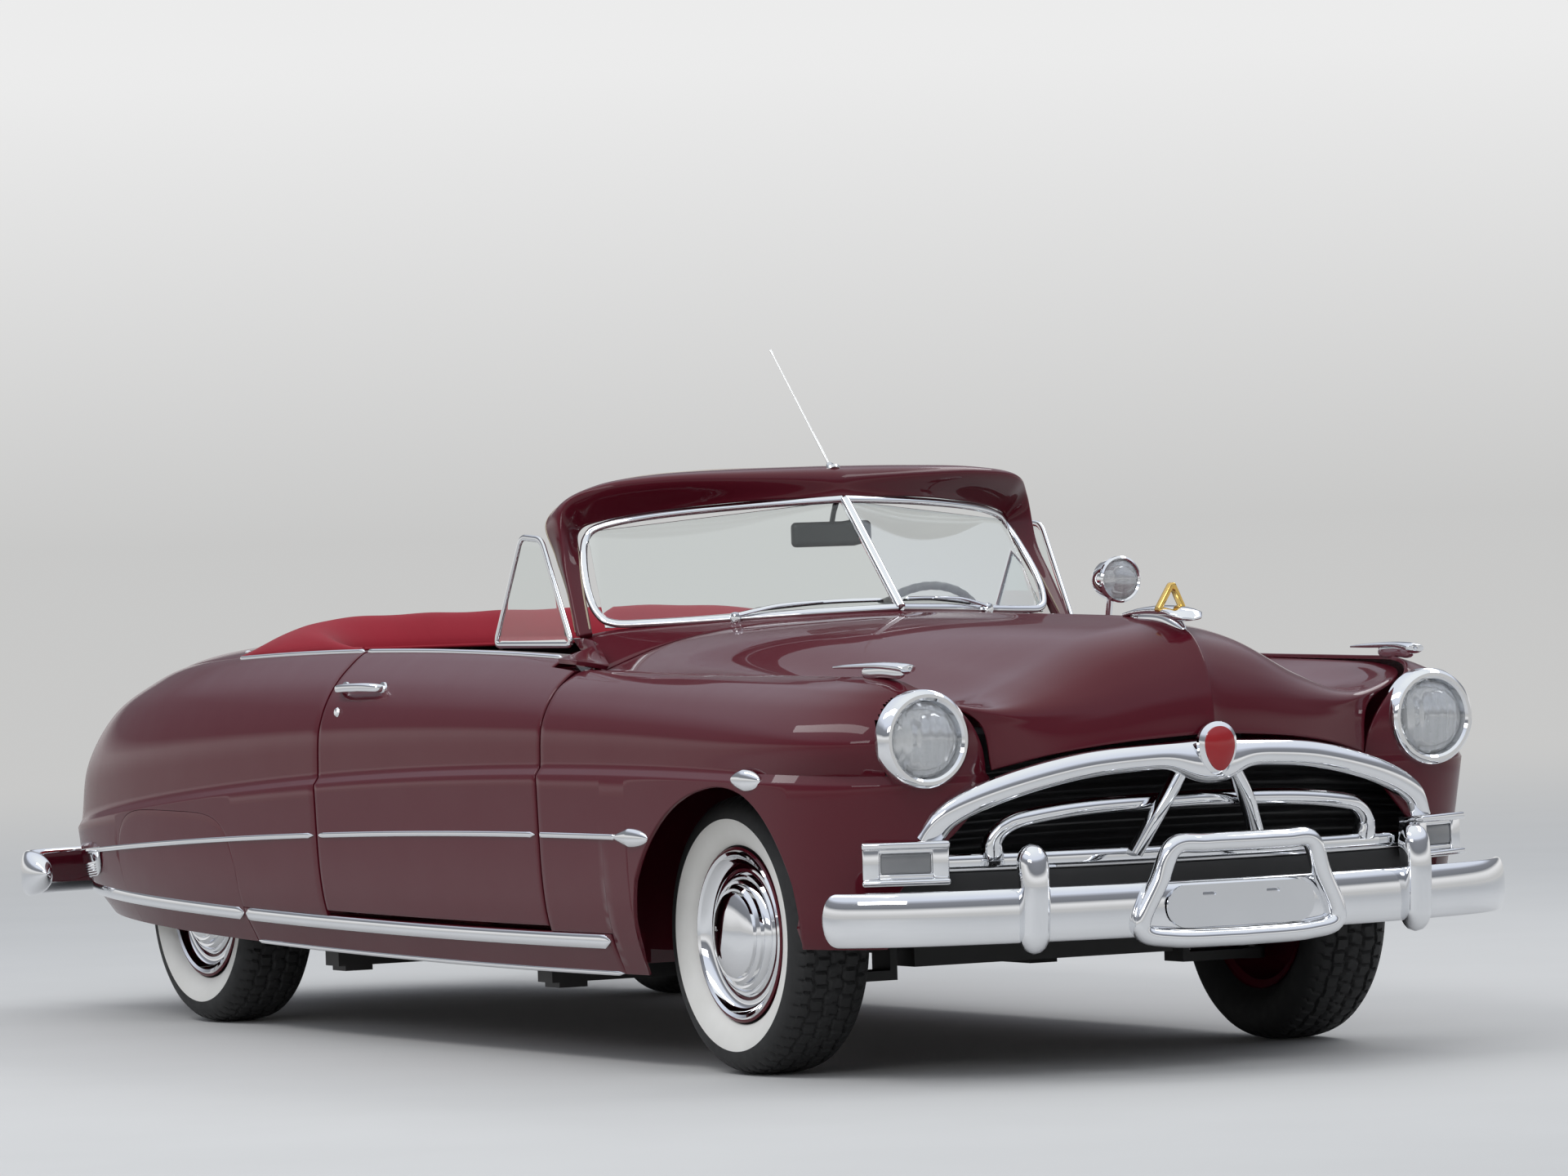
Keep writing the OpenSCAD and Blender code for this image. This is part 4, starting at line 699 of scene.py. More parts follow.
def arch_z(x):
    """Edge of the wheel's arch: a superellipse that leans with x."""
    t = (x - ARCH_X) / ARCH_R
    return ARCH_FOOT + rounded(np.abs(t), ARCH_POWER) * (ARCH_RISE + ARCH_LEAN * (x - ARCH_X))


def level_rows(at, low, count, upper):
    """Grid with count rows from the level low up to the crease, then a row on each upper level."""
    lower = [low + r * (CREASE - low) for r in np.linspace(0, 1, count)]
    return np.stack([at(v) for v in lower + [np.full(len(low), v) for v in upper]], axis=1)


def fender_foot(x):
    """Lower edge of the fender at x: the sill, then the wheel's arch, then the apron's height."""
    sill = height_at(x, np.where(x < SILL_FRONT, 1.0, 0.0)) + np.where(x < SILL_FRONT, SEAM, 0)
    arch = np.where(x < ARCH_X + ARCH_R, np.maximum(arch_z(x), APRON_Z), APRON_Z)
    return np.where(x < ARCH_X - ARCH_R + 0.01, sill, arch)


def fender_grid(columns_front=36):
    """Grid of the fender: stations along the side, then equal shares of the angle round the nose."""
    reach = bow(LOW_LEVELS[2])
    stations = np.concatenate([
        np.linspace(FENDER_X, SILL_FRONT - 0.5, 14), [SILL_FRONT + 0.5], np.linspace(1260, 1345, 4),
        ARCH_X - ARCH_R * np.cos(np.linspace(0, np.pi, 49))])
    shares = np.linspace(0, 1, columns_front + 1)[1:]
    s = (stations - FENDER_X) / reach
    s = np.concatenate([s, np.full(columns_front, s[-1])])
    f = np.concatenate([np.zeros(len(stations)), shares])

    def at(v):
        row = level_row(v)
        power = row[..., 6]
        first = np.arctan2(s, rounded(s, power))
        edge = spline(FACE_EDGE[:, None], v)[..., 0] / level_w(row)
        last = np.arctan2(rounded(edge, power), edge)
        a = first + f * (np.maximum(last, first + math.radians(2)) - first)
        forward, across = corner(a, power)
        y = level_w(row) * across
        curl = CURL * (np.maximum(CURL_Y - y, 0) / (CURL_Y - FACE_EDGE[3])) ** 2
        x = FENDER_X + bow(row) * forward - np.where(v < CREASE, 0, curl)
        z = row[..., 0] + (level_z(x, row) - row[..., 0]) * np.where(v < 6, 1, 1 - 0.3 * (v - 6))
        return xyz(x, y, z)

    x = at(np.full(len(s), 2.0))[:, 0]
    upper = np.concatenate([CREASE_LEVELS, np.linspace(4, 9, 42)])
    return level_rows(at, level_of(x, fender_foot(x)), 16, upper)


def with_hole(part, centre, radius):
    """The part without the faces inside a lamp's round hole, seen along X."""
    points, quads = part
    middle = points[quads].mean(axis=1)
    inside = np.hypot(middle[:, 1] - centre[1], middle[:, 2] - centre[2]) < radius
    return points, quads[~(inside & (middle[:, 0] > HOLE_REAR))]


fender = with_hole(panel(fender_grid(), 10, 3.5, outward=(0, 1, 0)), HEADLAMP, LAMP_HOLE)
for side, turn in SIDES.items():
    painted("fender_" + side, turn(fender), "front_fender_" + side)
print("fender faces", PIECES["fender_left"])

# %% [markdown]
# ## Rear quarters, skirts and tail
# Behind the door the side runs on past the covered wheel and turns into the tail. Beside the lid the
# deck falls to the belt. A skirt closes the wheel's opening, and the tail panel sits between the two
# quarters below the lid.

# %% Quarter panels
SKIRT_FRONT, SKIRT_REAR, SKIRT_TOP = AXLE_R + 586, AXLE_R - 250, 598.0
SKIRT_MIDDLE, SKIRT_HALF = (SKIRT_FRONT + SKIRT_REAR) / 2, (SKIRT_FRONT - SKIRT_REAR) / 2
TAIL_Y, DECK_X, DECK_LIFT, DECK_CROWN, DECK_BULGE = 568.0, AXLE_R + 210, 32.0, 20.0, 14.0


def skirt_z(x):
    """Upper edge of the skirt: a superellipse over the body's foot."""
    base = height_at(x, 0)
    return base + (SKIRT_TOP - base) * rounded(np.abs(x - SKIRT_MIDDLE) / SKIRT_HALF, 5)


def tail_point(y, v):
    """Point of the tail on level v at a distance y from the middle plane."""
    y, v = np.broadcast_arrays(np.asarray(y, float), np.asarray(v, float))
    row = level_row(v)
    x = STERN_X - stern(row) * rounded(np.abs(y) / level_w(row), TAIL_POWER)
    return xyz(x, y, level_z(x, row))


def quarter_grid(columns_back=36):
    """Grid of the quarter: stations along the side, then equal shares of the angle round the tail."""
    stations = np.concatenate([
        np.linspace(QUARTER_X, SKIRT_FRONT + 12, 16),
        SKIRT_MIDDLE + SKIRT_HALF * np.cos(np.linspace(0, np.pi, 41)),
        np.linspace(SKIRT_REAR - 20, SKIRT_REAR - 220, 8)])
    shares = np.linspace(0, 1, columns_back + 1)[1:]
    x = np.concatenate([stations, np.full(columns_back, stations[-1])])
    f = np.concatenate([np.zeros(len(stations)), shares])

    def at(v):
        row = level_row(v)
        s = np.clip((STERN_X - x) / stern(row), 0, 1)
        first = np.arctan2(s, rounded(s, TAIL_POWER))
        edge = TAIL_Y / level_w(row)
        last = np.arctan2(rounded(edge, TAIL_POWER), edge)
        back, across = corner(first + f * (last - first), TAIL_POWER)
        turned = STERN_X - stern(row) * back
        round_end = xyz(turned, level_w(row) * across, level_z(turned, row))
        return np.where(f[:, None] > 0, round_end, side_point(x, v))

    place = at(np.full(len(x), 2.0))[:, 0]
    behind = np.where(place > SKIRT_REAR + 1, skirt_z(place), height_at(place, 0))
    foot = np.where(place > SKIRT_FRONT - 1, height_at(place, 1) + SEAM, behind)
    return level_rows(at, level_of(place, foot), 14,
                      np.concatenate([CREASE_LEVELS, np.linspace(4, BELT, 36)]))


LID_CORNER_X = float(tail_point(TAIL_Y, BELT)[0])


def deck_z(x):
    """Height of the deck beside the lid: the belt and a lift that fades with the square of the way."""
    share = np.clip((DECK_X - x) / (DECK_X - LID_CORNER_X), 0, 1)
    return height_at(x, BELT) + DECK_LIFT * (1 - share**2)


def deck_side_grid():
    """Deck between the belt and the lid: straight across, lifted a little in the middle."""
    x = np.linspace(DECK_X + 58, LID_CORNER_X + 6, 50)[:, None]
    u = np.linspace(0, 1, 16)[None, :]
    belt = side_point(x[:, 0], BELT - 0.02)[:, None, :]
    edge = xyz(x[:, 0], TAIL_Y, deck_z(x[:, 0]))[:, None, :]
    grid = belt + (edge - belt) * u[..., None]
    fade = 1 - np.clip((DECK_X - x) / (DECK_X - LID_CORNER_X), 0, 1) ** 3
    grid[..., 2] += DECK_BULGE * fade * np.sin(np.pi * u) ** 0.8
    return grid


quarter = panel(quarter_grid(), 10, 1.0, outward=(0, 1, 0))
deck_side = panel(deck_side_grid(), 10, 2.0, outward=(0, 0, 1))
for side, turn in SIDES.items():
    painted("quarter_" + side, turn(joined(quarter, deck_side)), "rear_quarter_" + side)

# %% Skirts, sills, tail panel, deck strip and apron
xs = SKIRT_MIDDLE - (SKIRT_HALF - SEAM) * np.cos(np.linspace(0, np.pi, 61))
top = np.maximum(level_of(xs, skirt_z(xs) - SEAM), 0.04)
skirt = panel(side_point(xs[:, None], top[:, None] * np.linspace(0, 1, 22)), 10, 1.0, outward=(0, 1, 0))
painted("skirts", both(skirt), "wheel_skirts")

SILL_INNER = 850.0
outer = side_point(np.linspace(SKIRT_FRONT + 0.3, SILL_FRONT - 19, 90)[:, None], np.linspace(0, 1, 18))
inner = outer * [1, 0, 1] + [0, SILL_INNER, 0]
painted("sills", both(panel(outer, hem=4.0, outward=(0, 1, 0), inner=inner)), "sill_panels")

levels = np.concatenate([np.linspace(0, 3, 20), [3.3, 3.6], np.linspace(4, 4.6, 8)])
tail = panel(tail_point(np.linspace(4.5 - TAIL_Y, TAIL_Y - 4.5, 81)[:, None], levels), 10, 3.0,
             outward=(-1, 0, 0))
painted("tail", tail, "tail_panel")

y = np.linspace(5 - TAIL_Y, TAIL_Y - 5, 61)[:, None]
x = np.broadcast_to(np.linspace(DECK_X + 62, DECK_X + GAP + 5, 12), (61, 12))
z = height_at(x, BELT) + DECK_LIFT + DECK_CROWN * (1 - (y / TAIL_Y) ** 2)
strip = xyz(x, y, z)
painted("deck_strip", panel(strip, 10, 3.0, outward=(0, 0, 1)), "deck_panel")


APRON_X, APRON_BOW, APRON_HALF = AXLE_F + 772, 145.0, 735.0


def apron_path(half_width, height, count=61):
    """Line along the apron at a height: it bows forwards in the middle."""
    y = np.linspace(-half_width, half_width, count)
    x = APRON_X - APRON_BOW * (np.abs(y) / APRON_HALF) ** 2.2
    return xyz(x, y, height)


# The apron is a body panel, but it is coloured black here instead of burgundy: painted shade for the dark
# recess behind the bumper and the low bar.
piece("apron", bar(apron_path(APRON_HALF, 463.3), oval(16, 66, 28, 8)), chassis_black, "chassis",
      "under_paint", "front_apron")

# %% [markdown]
# ## Hood and deck lid
# The hood bends from the V of the windshield's foot to the round of the nose: each station has its
# own heights from the ridge to the seam. The lid takes the deck's top and the upper tail in one
# panel. Both ride on their own bodies, because they open.

# %% Lids
HOOD_HEAD = "ridge x, seam x, seam y, bend, then five heights from ridge to seam"
HOOD = np.array([
    [1080, 819, 734, 0, 1097, 1091, 1076, 1042, 975], [1330, 1120, 734, 0.1, 1094, 1084, 1058, 1012, 962],
    [1700, 1560, 734, 0.4, 1089, 1066, 1005, 935, 958], [2120, 1995, 732, 0.8, 1080, 1042, 957, 889, 950],
    [2300, 2138, 731, 0.9, 1071, 1028, 944, 884, 942], [2405, 2231, 709, 1, 1040, 996, 922, 884, 928],
    [2464, 2300, 650, 1, 982, 944, 894, 874, 902], [2496, 2346, 545, 1, 900, 882, 854, 836, 848],
    [2507, 2360, 522, 1, 803, 797, 786, 766, 734]], float)
SPINE_RISE, SPINE_HALF, HOOD_SPREAD = 12.0, 26.0, 1.004


def hood_point(k, t):
    """Hood at station k and signed share t of the way from the ridge to the seam."""
    k, t = np.broadcast_arrays(np.asarray(k, float), np.asarray(t, float))
    row, a = spline(HOOD, k), np.abs(t)
    bend = row[..., 3]
    g = (1 - bend) * (1 - (1 - a) ** 1.6) + bend * a**1.7
    i = np.clip(np.floor(4 * a).astype(int), 0, 3)
    f = 4 * a - i
    h = row[..., 4:]
    h = np.concatenate([2 * h[..., :1] - h[..., 1:2], h, 2 * h[..., 4:] - h[..., 3:4]], axis=-1)
    near = [np.take_along_axis(h, (i + n)[..., None], axis=-1)[..., 0] for n in range(4)]
    x = row[..., 0] + (row[..., 1] - row[..., 0]) * g
    return xyz(x, row[..., 2] * t, cubic(*near, f))


def spine(grid):
    """The hood's raised middle: a pointed ridge along the normal, which grows towards the nose."""
    normal = grid_frame(grid)[2]
    normal = normal * np.sign(normal[..., 2:3])
    growth = np.linspace(0.15, 1, len(grid))[:, None] ** 1.5
    rise = SPINE_RISE * growth * np.exp(-np.abs(grid[..., 1]) / SPINE_HALF)
    return grid + rise[..., None] * normal


share = np.linspace(-1, 1, 97)
hood_grid = hood_point(np.linspace(0, 8, 105)[:, None], np.sign(share) * np.abs(share) ** 1.25)
hood_grid = spine(hood_grid) * [1, HOOD_SPREAD, 1]
painted("hood_panel", panel(hood_grid, 12, 4.0, outward=(0, 0, 1)), "hood", body="hood", sharp=50)

LID_Y, LID_FOOT = TAIL_Y - GAP - 3, 4.72
y = np.linspace(-LID_Y, LID_Y, 65)[:, None]
q = np.linspace(0, 0.97, 40)[None, :]
end = tail_point(y, BELT)[..., 0]
x = DECK_X + q * (end - DECK_X)
lift = (DECK_LIFT + DECK_CROWN * (1 - (y / TAIL_Y) ** 2)) * (1 - q**2)
lid_top = xyz(x, y, height_at(x, BELT) + lift)
lid_grid = np.concatenate([lid_top, tail_point(y, np.linspace(BELT, LID_FOOT, 48))], axis=1)
painted("lid_panel", panel(lid_grid, 12, 4.0, outward=(-1, 0, 1)), "deck_lid", body="deck_lid")
print(HOOD_HEAD)

# %% [markdown]
# ## Doors
# A door is a thick slab: the painted skin outside with its rounded edge, and a narrower inner face. The
# skin lies on the same levels as the fender, so highlights run across the gaps. At the top front a
# notch makes room for the cowl's shoulder.

# %% Door slabs
DOOR_FRONT, DOOR_SHOULDER, DOOR_REAR = FENDER_X - 9, FENDER_X - 138, QUARTER_X + 8
DOOR_BEVEL, DOOR_T, NOTCH, NOTCH_RISE = 44.0, 112.0, 6.84, 0.12
DOOR_LEVELS = np.concatenate([np.linspace(1.12, 3, 20), CREASE_LEVELS, np.linspace(4, NOTCH, 26),
                              [6.87, 6.9, 6.93], np.linspace(6.96, 8, 14)])


def door_depth(v):
    """Thickness of the door on level v: full below level 6, then narrower towards the belt."""
    return np.where(v < 6, DOOR_T, DOOR_T * (1 - 0.2 * (v - 6)))


def door_grid(inner):
    """Outer or inner face of the door: stations from its front edge, which steps back at the notch."""
    v = DOOR_LEVELS[None, :]
    share = np.linspace(0, 1, 70)[:, None]
    bevel = DOOR_BEVEL if inner else 0
    notch = np.clip((v - NOTCH) / NOTCH_RISE, 0, 1)
    front = DOOR_FRONT + (DOOR_SHOULDER - DOOR_FRONT) * notch - bevel
    p = side_point(front + share * (DOOR_REAR + bevel - front), np.broadcast_to(v, (70, len(DOOR_LEVELS))))
    if inner:
        p[..., 1] -= door_depth(v)
    return p


door = panel(door_grid(False), hem=4.0, outward=(0, 1, 0), inner=door_grid(True))
for side, turn in SIDES.items():
    painted("door_shell_" + side, turn(door), "door_" + side, body="door_" + side)

# %% [markdown]
# ## Windshield frame and cowl
# The header and both pillars are one thick frame with a rounded front, and the cowl top fills the
# space between the hood's rear edge and the glass.

# %% Frame and cowl top
WINDSHIELD = np.array([
    [[763, 0, 1397], [722, 0, 1470], [455, 0, 1478]], [[705, 250, 1390], [704, 250, 1467], [452, 250, 1476]],
    [[615, 450, 1372], [664, 460, 1460], [447, 455, 1462]],
    [[545, 585, 1350], [600, 615, 1440], [438, 600, 1425]],
    [[508, 632, 1325], [525, 690, 1388], [416, 684, 1354]],
    [[545, 650, 1260], [545, 702, 1265], [478, 690, 1262]],
    [[605, 672, 1170], [600, 714, 1170], [560, 700, 1165]],
    [[672, 690, 1068], [665, 728, 1062], [622, 712, 1060]]],
    float)
COWL = np.array([[0, 1036, 0, 1104], [0.12, 988, 92, 1103], [0.25, 935, 190, 1100], [0.38, 878, 285, 1096],
                 [0.5, 820, 380, 1091], [0.62, 764, 470, 1087], [0.75, 712, 560, 1082],
                 [0.87, 668, 650, 1073], [1, 630, 714, 1058]], float)
COWL_SIDE = np.array([[[806, 748, 988], [700, 718, 1052]], [[880, 754, 988], [758, 722, 1044]],
                      [[880, 800, 998], [763, 796, 1020]], [[880, 846, 1006], [765, 840, 1009]]], float)


def windshield_grid():
    """Sections of three points, smooth from the middle to the pillar's foot and smooth across."""
    sections = spline(WINDSHIELD.reshape(8, 9), np.linspace(0, 7, 85)).reshape(85, 3, 3)
    j = np.linspace(0, 2, 25)
    half = np.stack([spline(s, j) for s in sections])
    return whole(half)


def cowl_grid():
    """Strips from the hood's rear edge to the glass's foot, then over the shoulder to the door's notch."""
    rows = spline(COWL, np.linspace(0, 8, 65))
    front = hood_point(np.zeros(65), np.clip(rows[:, 0], 0, 1)) - [14, 0, 0]
    at = np.linspace(0, 3, 25)
    side = np.stack([np.stack([np.interp(at, np.arange(4), COWL_SIDE[:, e, c]) for c in range(3)], axis=-1)
                     for e in range(2)])
    front, rear = np.concatenate([front, side[0]]), np.concatenate([rows[:, 1:], side[1]])
    half = front[:, None] + (rear - front)[:, None] * np.linspace(0, 1, 12)[None, :, None]
    return whole(half)


screen_frame = panel(windshield_grid(), 20, 5.0, outward=(0, 0, 1))
cowl_top = panel(cowl_grid(), 12, 2.5, outward=(0, 0, 1))
painted("screen_frame", joined(screen_frame, cowl_top), "windshield_frame", sharp=50)
print("pieces", PIECES)

# %% [markdown]
# ## Grille
# A wide chrome arch closes the hood's lip, a smaller arch sits inside it and a low bar carries both.
# Two slanted legs hold the crest, whose enamel is plain red. The arch swells where the crest sits
# on it. Behind the bars a black ribbed baffle hides the radiator.

# %% Arches, legs and crest
ARCH_HEAD = "distance from the front axle, half width, height"
OUTER_ARCH = np.array([[694, 694, 570], [728, 642, 640], [772, 510, 696], [806, 330, 737], [838, 160, 752],
                       [856, 0, 755]], float)
INNER_ARCH = np.array([[708, 522, 530], [716, 522, 572], [732, 492, 605], [752, 430, 624], [766, 270, 640],
                       [778, 0, 647]], float)
GRILLE_LEG = np.array([[838, 62, 736], [826, 115, 645], [784, 175, 526]], float)
LOW_BAR_Z, LOW_BAR_Y = 518.6, 640.0
CREST_X, CREST_Z = AXLE_F + 880, 767.0


def whole_arch(table, count=61):
    """Path over the whole arch from the half that the table gives."""
    half = through(table, count) + [AXLE_F, 0, 0]
    return over(half)


def shield(x, half_width, half_height, bulge, rings=14, around=72):
    """Domed shield facing forwards: a rounded outline that narrows to the foot, closed behind."""
    a = circle(around)
    r = np.concatenate([np.linspace(0, 1, rings), [1, 0]])[:, None]
    lift = np.concatenate([bulge * (1 - np.linspace(0, 1, rings) ** 2.4), [-10, -10]])[:, None]
    width = half_width * (0.84 + 0.16 * np.sin(a))
    y, z = width * np.cos(a) * r, CREST_Z + half_height * np.sin(a) * r
    points = xyz(x + lift, y, z)
    return facing_out((points.reshape(-1, 3), grid_quads(len(r), around, close_columns=True)))


arch = whole_arch(OUTER_ARCH)
swell = np.exp(-(np.abs(arch[:, 1] / 82) ** 2.4))[:, None]
arch = arch - swell * [0, 0, 14]
outer_bar = bar(arch, oval(64, 50, 36, 2.3), (1, 0, 0.2), 1 + swell * [0.75, 0.35])
arch = whole_arch(INNER_ARCH)
foot = 1 + 0.35 * np.exp(-(((arch[:, 2] - 535) / 40) ** 2))
inner_bar = bar(arch, oval(40, 38, 28, 2.3), (1, 0, 0.2), foot)
low_bar = bar(apron_path(LOW_BAR_Y, LOW_BAR_Z, 81), oval(30, 44, 28, 3))
leg = bar(through(GRILLE_LEG + [AXLE_F, 0, 0], 25), oval(34, 44, 24), (1, 0, 0))
crest = joined(shield(CREST_X + 10, 62, 64, 16), block((CREST_X - 36, -44, 724), (CREST_X + 4, 44, 786), 8))
plated("grille_bars", joined(outer_bar, inner_bar, low_bar, leg, mirrored(leg), crest), "grille")
piece("crest_enamel", shield(CREST_X + 21, 48, 53, 9), enamel, "chassis", "tail_glass")

# %% Baffle behind the bars
BAFFLE_X, BAFFLE_HALF, BAFFLE_FOOT, BAFFLE_RISE = 2290.0, 800.0, 470.0, 290.0
y, up = np.linspace(-BAFFLE_HALF, BAFFLE_HALF, 41)[:, None], np.linspace(0, 1, 72)[None, :]
out = np.abs(y / BAFFLE_HALF)
z = BAFFLE_FOOT + up * (BAFFLE_RISE - 60 * out**2.5)
x = BAFFLE_X + 10 * np.sin(up * 46) - 110 * out**2
baffle = xyz(x, y, z)
piece("grille_baffle", panel(baffle, 4, 1.0, outward=(1, 0, 0)), black_plastic, "chassis", "under_paint")
print(ARCH_HEAD)

# %% [markdown]
# ## Bumpers
# Both bumpers are rolled bars that wrap round the corners and close in round noses. The front one
# carries two upright guards and a loop of thick tube in the middle, which frames a blank plate panel.

# %% Bars, guards and loop
BUMPER_Z, BUMPER_H = 398.0, 128.0
FRONT_BUMPER = np.array([[632, 943], [700, 912], [800, 800], [872, 620], [922, 400], [948, 180], [956, 0]],
                        float)
REAR_BUMPER = np.array([[690, 958], [880, 936], [990, 862], [1065, 660], [1107, 400], [1126, 180],
                        [1132, 0]], float)
GUARD_LOOP = np.array([[0, 0, 550], [-2, 110, 550], [-7, 189, 545], [-18, 225, 470], [-30, 273, 358],
                       [-28, 190, 330], [-24, 0, 325]], float) + [2632, 0, 0]
GUARD = np.array([[2545, 533, 306], [2553, 533, 400], [2556, 533, 480], [2543, 533, 565]], float)


def bumper_path(table, axle, side, start, count=71):
    """Line round one end of the car at the bumper's height, from one tip to the other."""
    half = spline(table, np.linspace(start, len(table) - 1, count))
    half = xyz(axle + side * half[:, 0], half[:, 1], BUMPER_Z)
    return over(half)


def bumper_bar(table, axle, side, start=0.0, bulb=0.0):
    """Rolled bar: round section with a flatter face and a nose at both ends, thicker inwards by the bulb."""
    path = bumper_path(table, axle, side, start)
    t = np.linspace(0, 1, len(path))
    near = bulb * np.exp(-((np.minimum(t, 1 - t) / 0.06) ** 2))
    path[:, 1] -= np.sign(path[:, 1]) * 18 * near
    ends = rounded_ends(len(path), 0.06)
    return bar(path, oval(37, BUMPER_H, 44, 2.4), (0, 0, 1), np.stack([ends * (1 + near), ends], axis=1))


half = through(GUARD_LOOP, 61)
loop_path = np.concatenate([half, half[-2:0:-1] * FLIP])
loop = bar(loop_path, oval(46, 46, 28, 2.2), (1, 0, 0), closed=True)
guard = bar(through(GUARD, 41), oval(72, 74, 32, 2.3), (1, 0, 0), rounded_ends(41, 0.18))
bracket = block((2240, 345, 352), (2560, 395, 424), 6)
plated("front_bumper_bar", joined(bumper_bar(FRONT_BUMPER, AXLE_F, 1), loop, both(guard), both(bracket)),
       "front_bumper")
rear_bracket = block((AXLE_R - 1105, 345, 421), (AXLE_R - 880, 395, 469), 6)
plated("rear_bumper_bar", joined(bumper_bar(REAR_BUMPER, AXLE_R, -1, 0.4, 1.5), both(rear_bracket)),
       "rear_bumper")

# %% [markdown]
# ## Headlamps and parking lamps
# A sealed-beam lamp is a mirror bowl behind fluted glass, held by a deep chrome rim. The
# parking lamps below are chrome boxes, turned with the fender, with a small grey lens each.

# %% Lamps
RIM_PROFILE = [[90, 112], [90, 119], [93, 141], [99, 146], [107, 146], [113, 141], [118, 130], [118, 98],
               [114, 92], [84, 70], [70, 12], [60, 0], [0, 0], [0, 20], [40, 24], [70, 52], [88, 100],
               [90, 112]]
LENS_PROFILE = [[0, 33], [22, 32.2], [44, 29.5], [64, 24.5], [80, 17], [88, 9], [89.7, 3], [89.7, 0], [80, 6],
                [60, 15], [30, 22], [0, 25]]
rims = both(spun(RIM_PROFILE, HEADLAMP, (1, 0, 0), 120))
plated("headlamp_bowls", rims, "headlamp_rims", sharp=30)
lens = both(spun(LENS_PROFILE, HEADLAMP + [118.3, 0, 0], (1, 0, 0), 120))
piece("headlamp_glass", lens, lamp_glass, "chassis", "lamp_glass", "headlamp_lenses")

PARKING, PARKING_TURN = np.array([AXLE_F + 680, 742.0, 524.0]), math.radians(27)


def turned(part, angle, place):
    """The part turned about the vertical and moved."""
    points, quads = part
    c, s = math.cos(angle), math.sin(angle)
    x, y = points[:, 0] * c - points[:, 1] * s, points[:, 0] * s + points[:, 1] * c
    return xyz(x, y, points[:, 2]) + place, quads


housing = [block((-40, -104, 34), (34, 104, 52), 6), block((-40, -104, -52), (34, 104, -36), 6),
           block((-40, -102, -40), (20, -62, 40), 5), block((-40, 62, -40), (20, 102, 40), 5),
           block((-40, -70, -40), (6, 70, 40), 4), block((2, -64, 24), (16, 64, 36), 3),
           block((2, -64, -36), (16, 64, -24), 3)]
plated("parking_housings", both(turned(joined(*housing), PARKING_TURN, PARKING)), "parking_lamps")
piece("parking_glass", both(turned(block((4, -60, -24), (15, 60, 24), 5), PARKING_TURN, PARKING)), grey_lens,
      "chassis", "lamp_glass")
print("front", {n: PIECES[n] for n in list(PIECES)[-9:]})

# %% [markdown]
# ## Tyres and wheels
# A tyre is a spun section with a tread cut into its crown: four grooves run round it and staggered slots
# cross the ribs. The outer wall has the white band of the time. The wheel is painted, with a
# chrome ring on its flange and a stepped, plain cap.

# %% Tyres
TYRE_R, CROWN_R, WHITE_IN, WHITE_OUT = 340.0, 322.0, 217.0, 284.0
TREAD_DEPTH, TREAD_SLOTS, SLOT_SHARE, RIB_PITCH = 7.0, 60, 0.17, 38.0
GROOVES, GROOVE_HALF, GROOVE_WANDER = np.array([-58.0, -20.0, 20.0, 58.0]), 4.2, 3.5
TYRE_HALF = np.array([[205, -70], [216, -76], [236, -94], [262, -104], [286, -107], [310, -102], [328, -86],
                      [337, -60], [340, -30]], float)
TYRE_SECTION = np.concatenate([TYRE_HALF, TYRE_HALF[::-1] * [1, -1]])
WHEEL_PLACES = {"front_left": (AXLE_F, 738.0), "front_right": (AXLE_F, -738.0),
                "rear_left": (AXLE_R, 705.0), "rear_right": (AXLE_R, -705.0)}


def tread(radius, offset, turn):
    """Depth of the tread: grooves round the crown, and slots across it that step from rib to rib."""
    rib = np.floor((offset - GROOVES[0] + RIB_PITCH) / RIB_PITCH)
    wander = offset + GROOVE_WANDER * np.sin(turn * TREAD_SLOTS / 2)
    groove = np.min(np.abs(wander[..., None] - GROOVES), axis=-1) < GROOVE_HALF
    phase = (turn * TREAD_SLOTS / (2 * np.pi) + 0.42 * rib + 0.004 * offset) % 1
    return TREAD_DEPTH * ((radius > CROWN_R) & (groove | (phase < SLOT_SHARE)))


def tyre(x, y, around=360):
    """Section of the tyre turned about its hub, less the tread; the fine rows lie on the crown."""
    rows = np.concatenate([np.linspace(0, 6, 12)[:-1], np.linspace(6, 11, 48), np.linspace(11, 17, 12)[1:]])
    section = spline(TYRE_SECTION, rows)
    turn = circle(around)
    radius, offset, turn = np.broadcast_arrays(section[:, :1], section[:, 1:], turn)
    radius = radius - tread(radius, offset, turn)
    out = y + math.copysign(1, y) * offset
    points = xyz(x + radius * np.cos(turn), out, TYRE_R + radius * np.sin(turn))
    quads = grid_quads(len(section), around, close_rows=True, close_columns=True)
    return facing_out((points.reshape(-1, 3), quads))


def banded(x, y):
    """Chooser of a face's finish: white on the outer wall between two radii."""
    def choose(middle):
        r = np.hypot(middle[:, 0] - x, middle[:, 2] - TYRE_R)
        out = (middle[:, 1] - y) * math.copysign(1, y)
        return (r > WHITE_IN) & (r < WHITE_OUT) & (out > 60)
    return choose


for name, (x, y) in WHEEL_PLACES.items():
    piece("tyre_" + name + "_cover", tyre(x, y), [rubber, white_band], name + "_wheel", "tyre_rubber",
          "tyre_" + name, sharp=45, tint=banded(x, y))

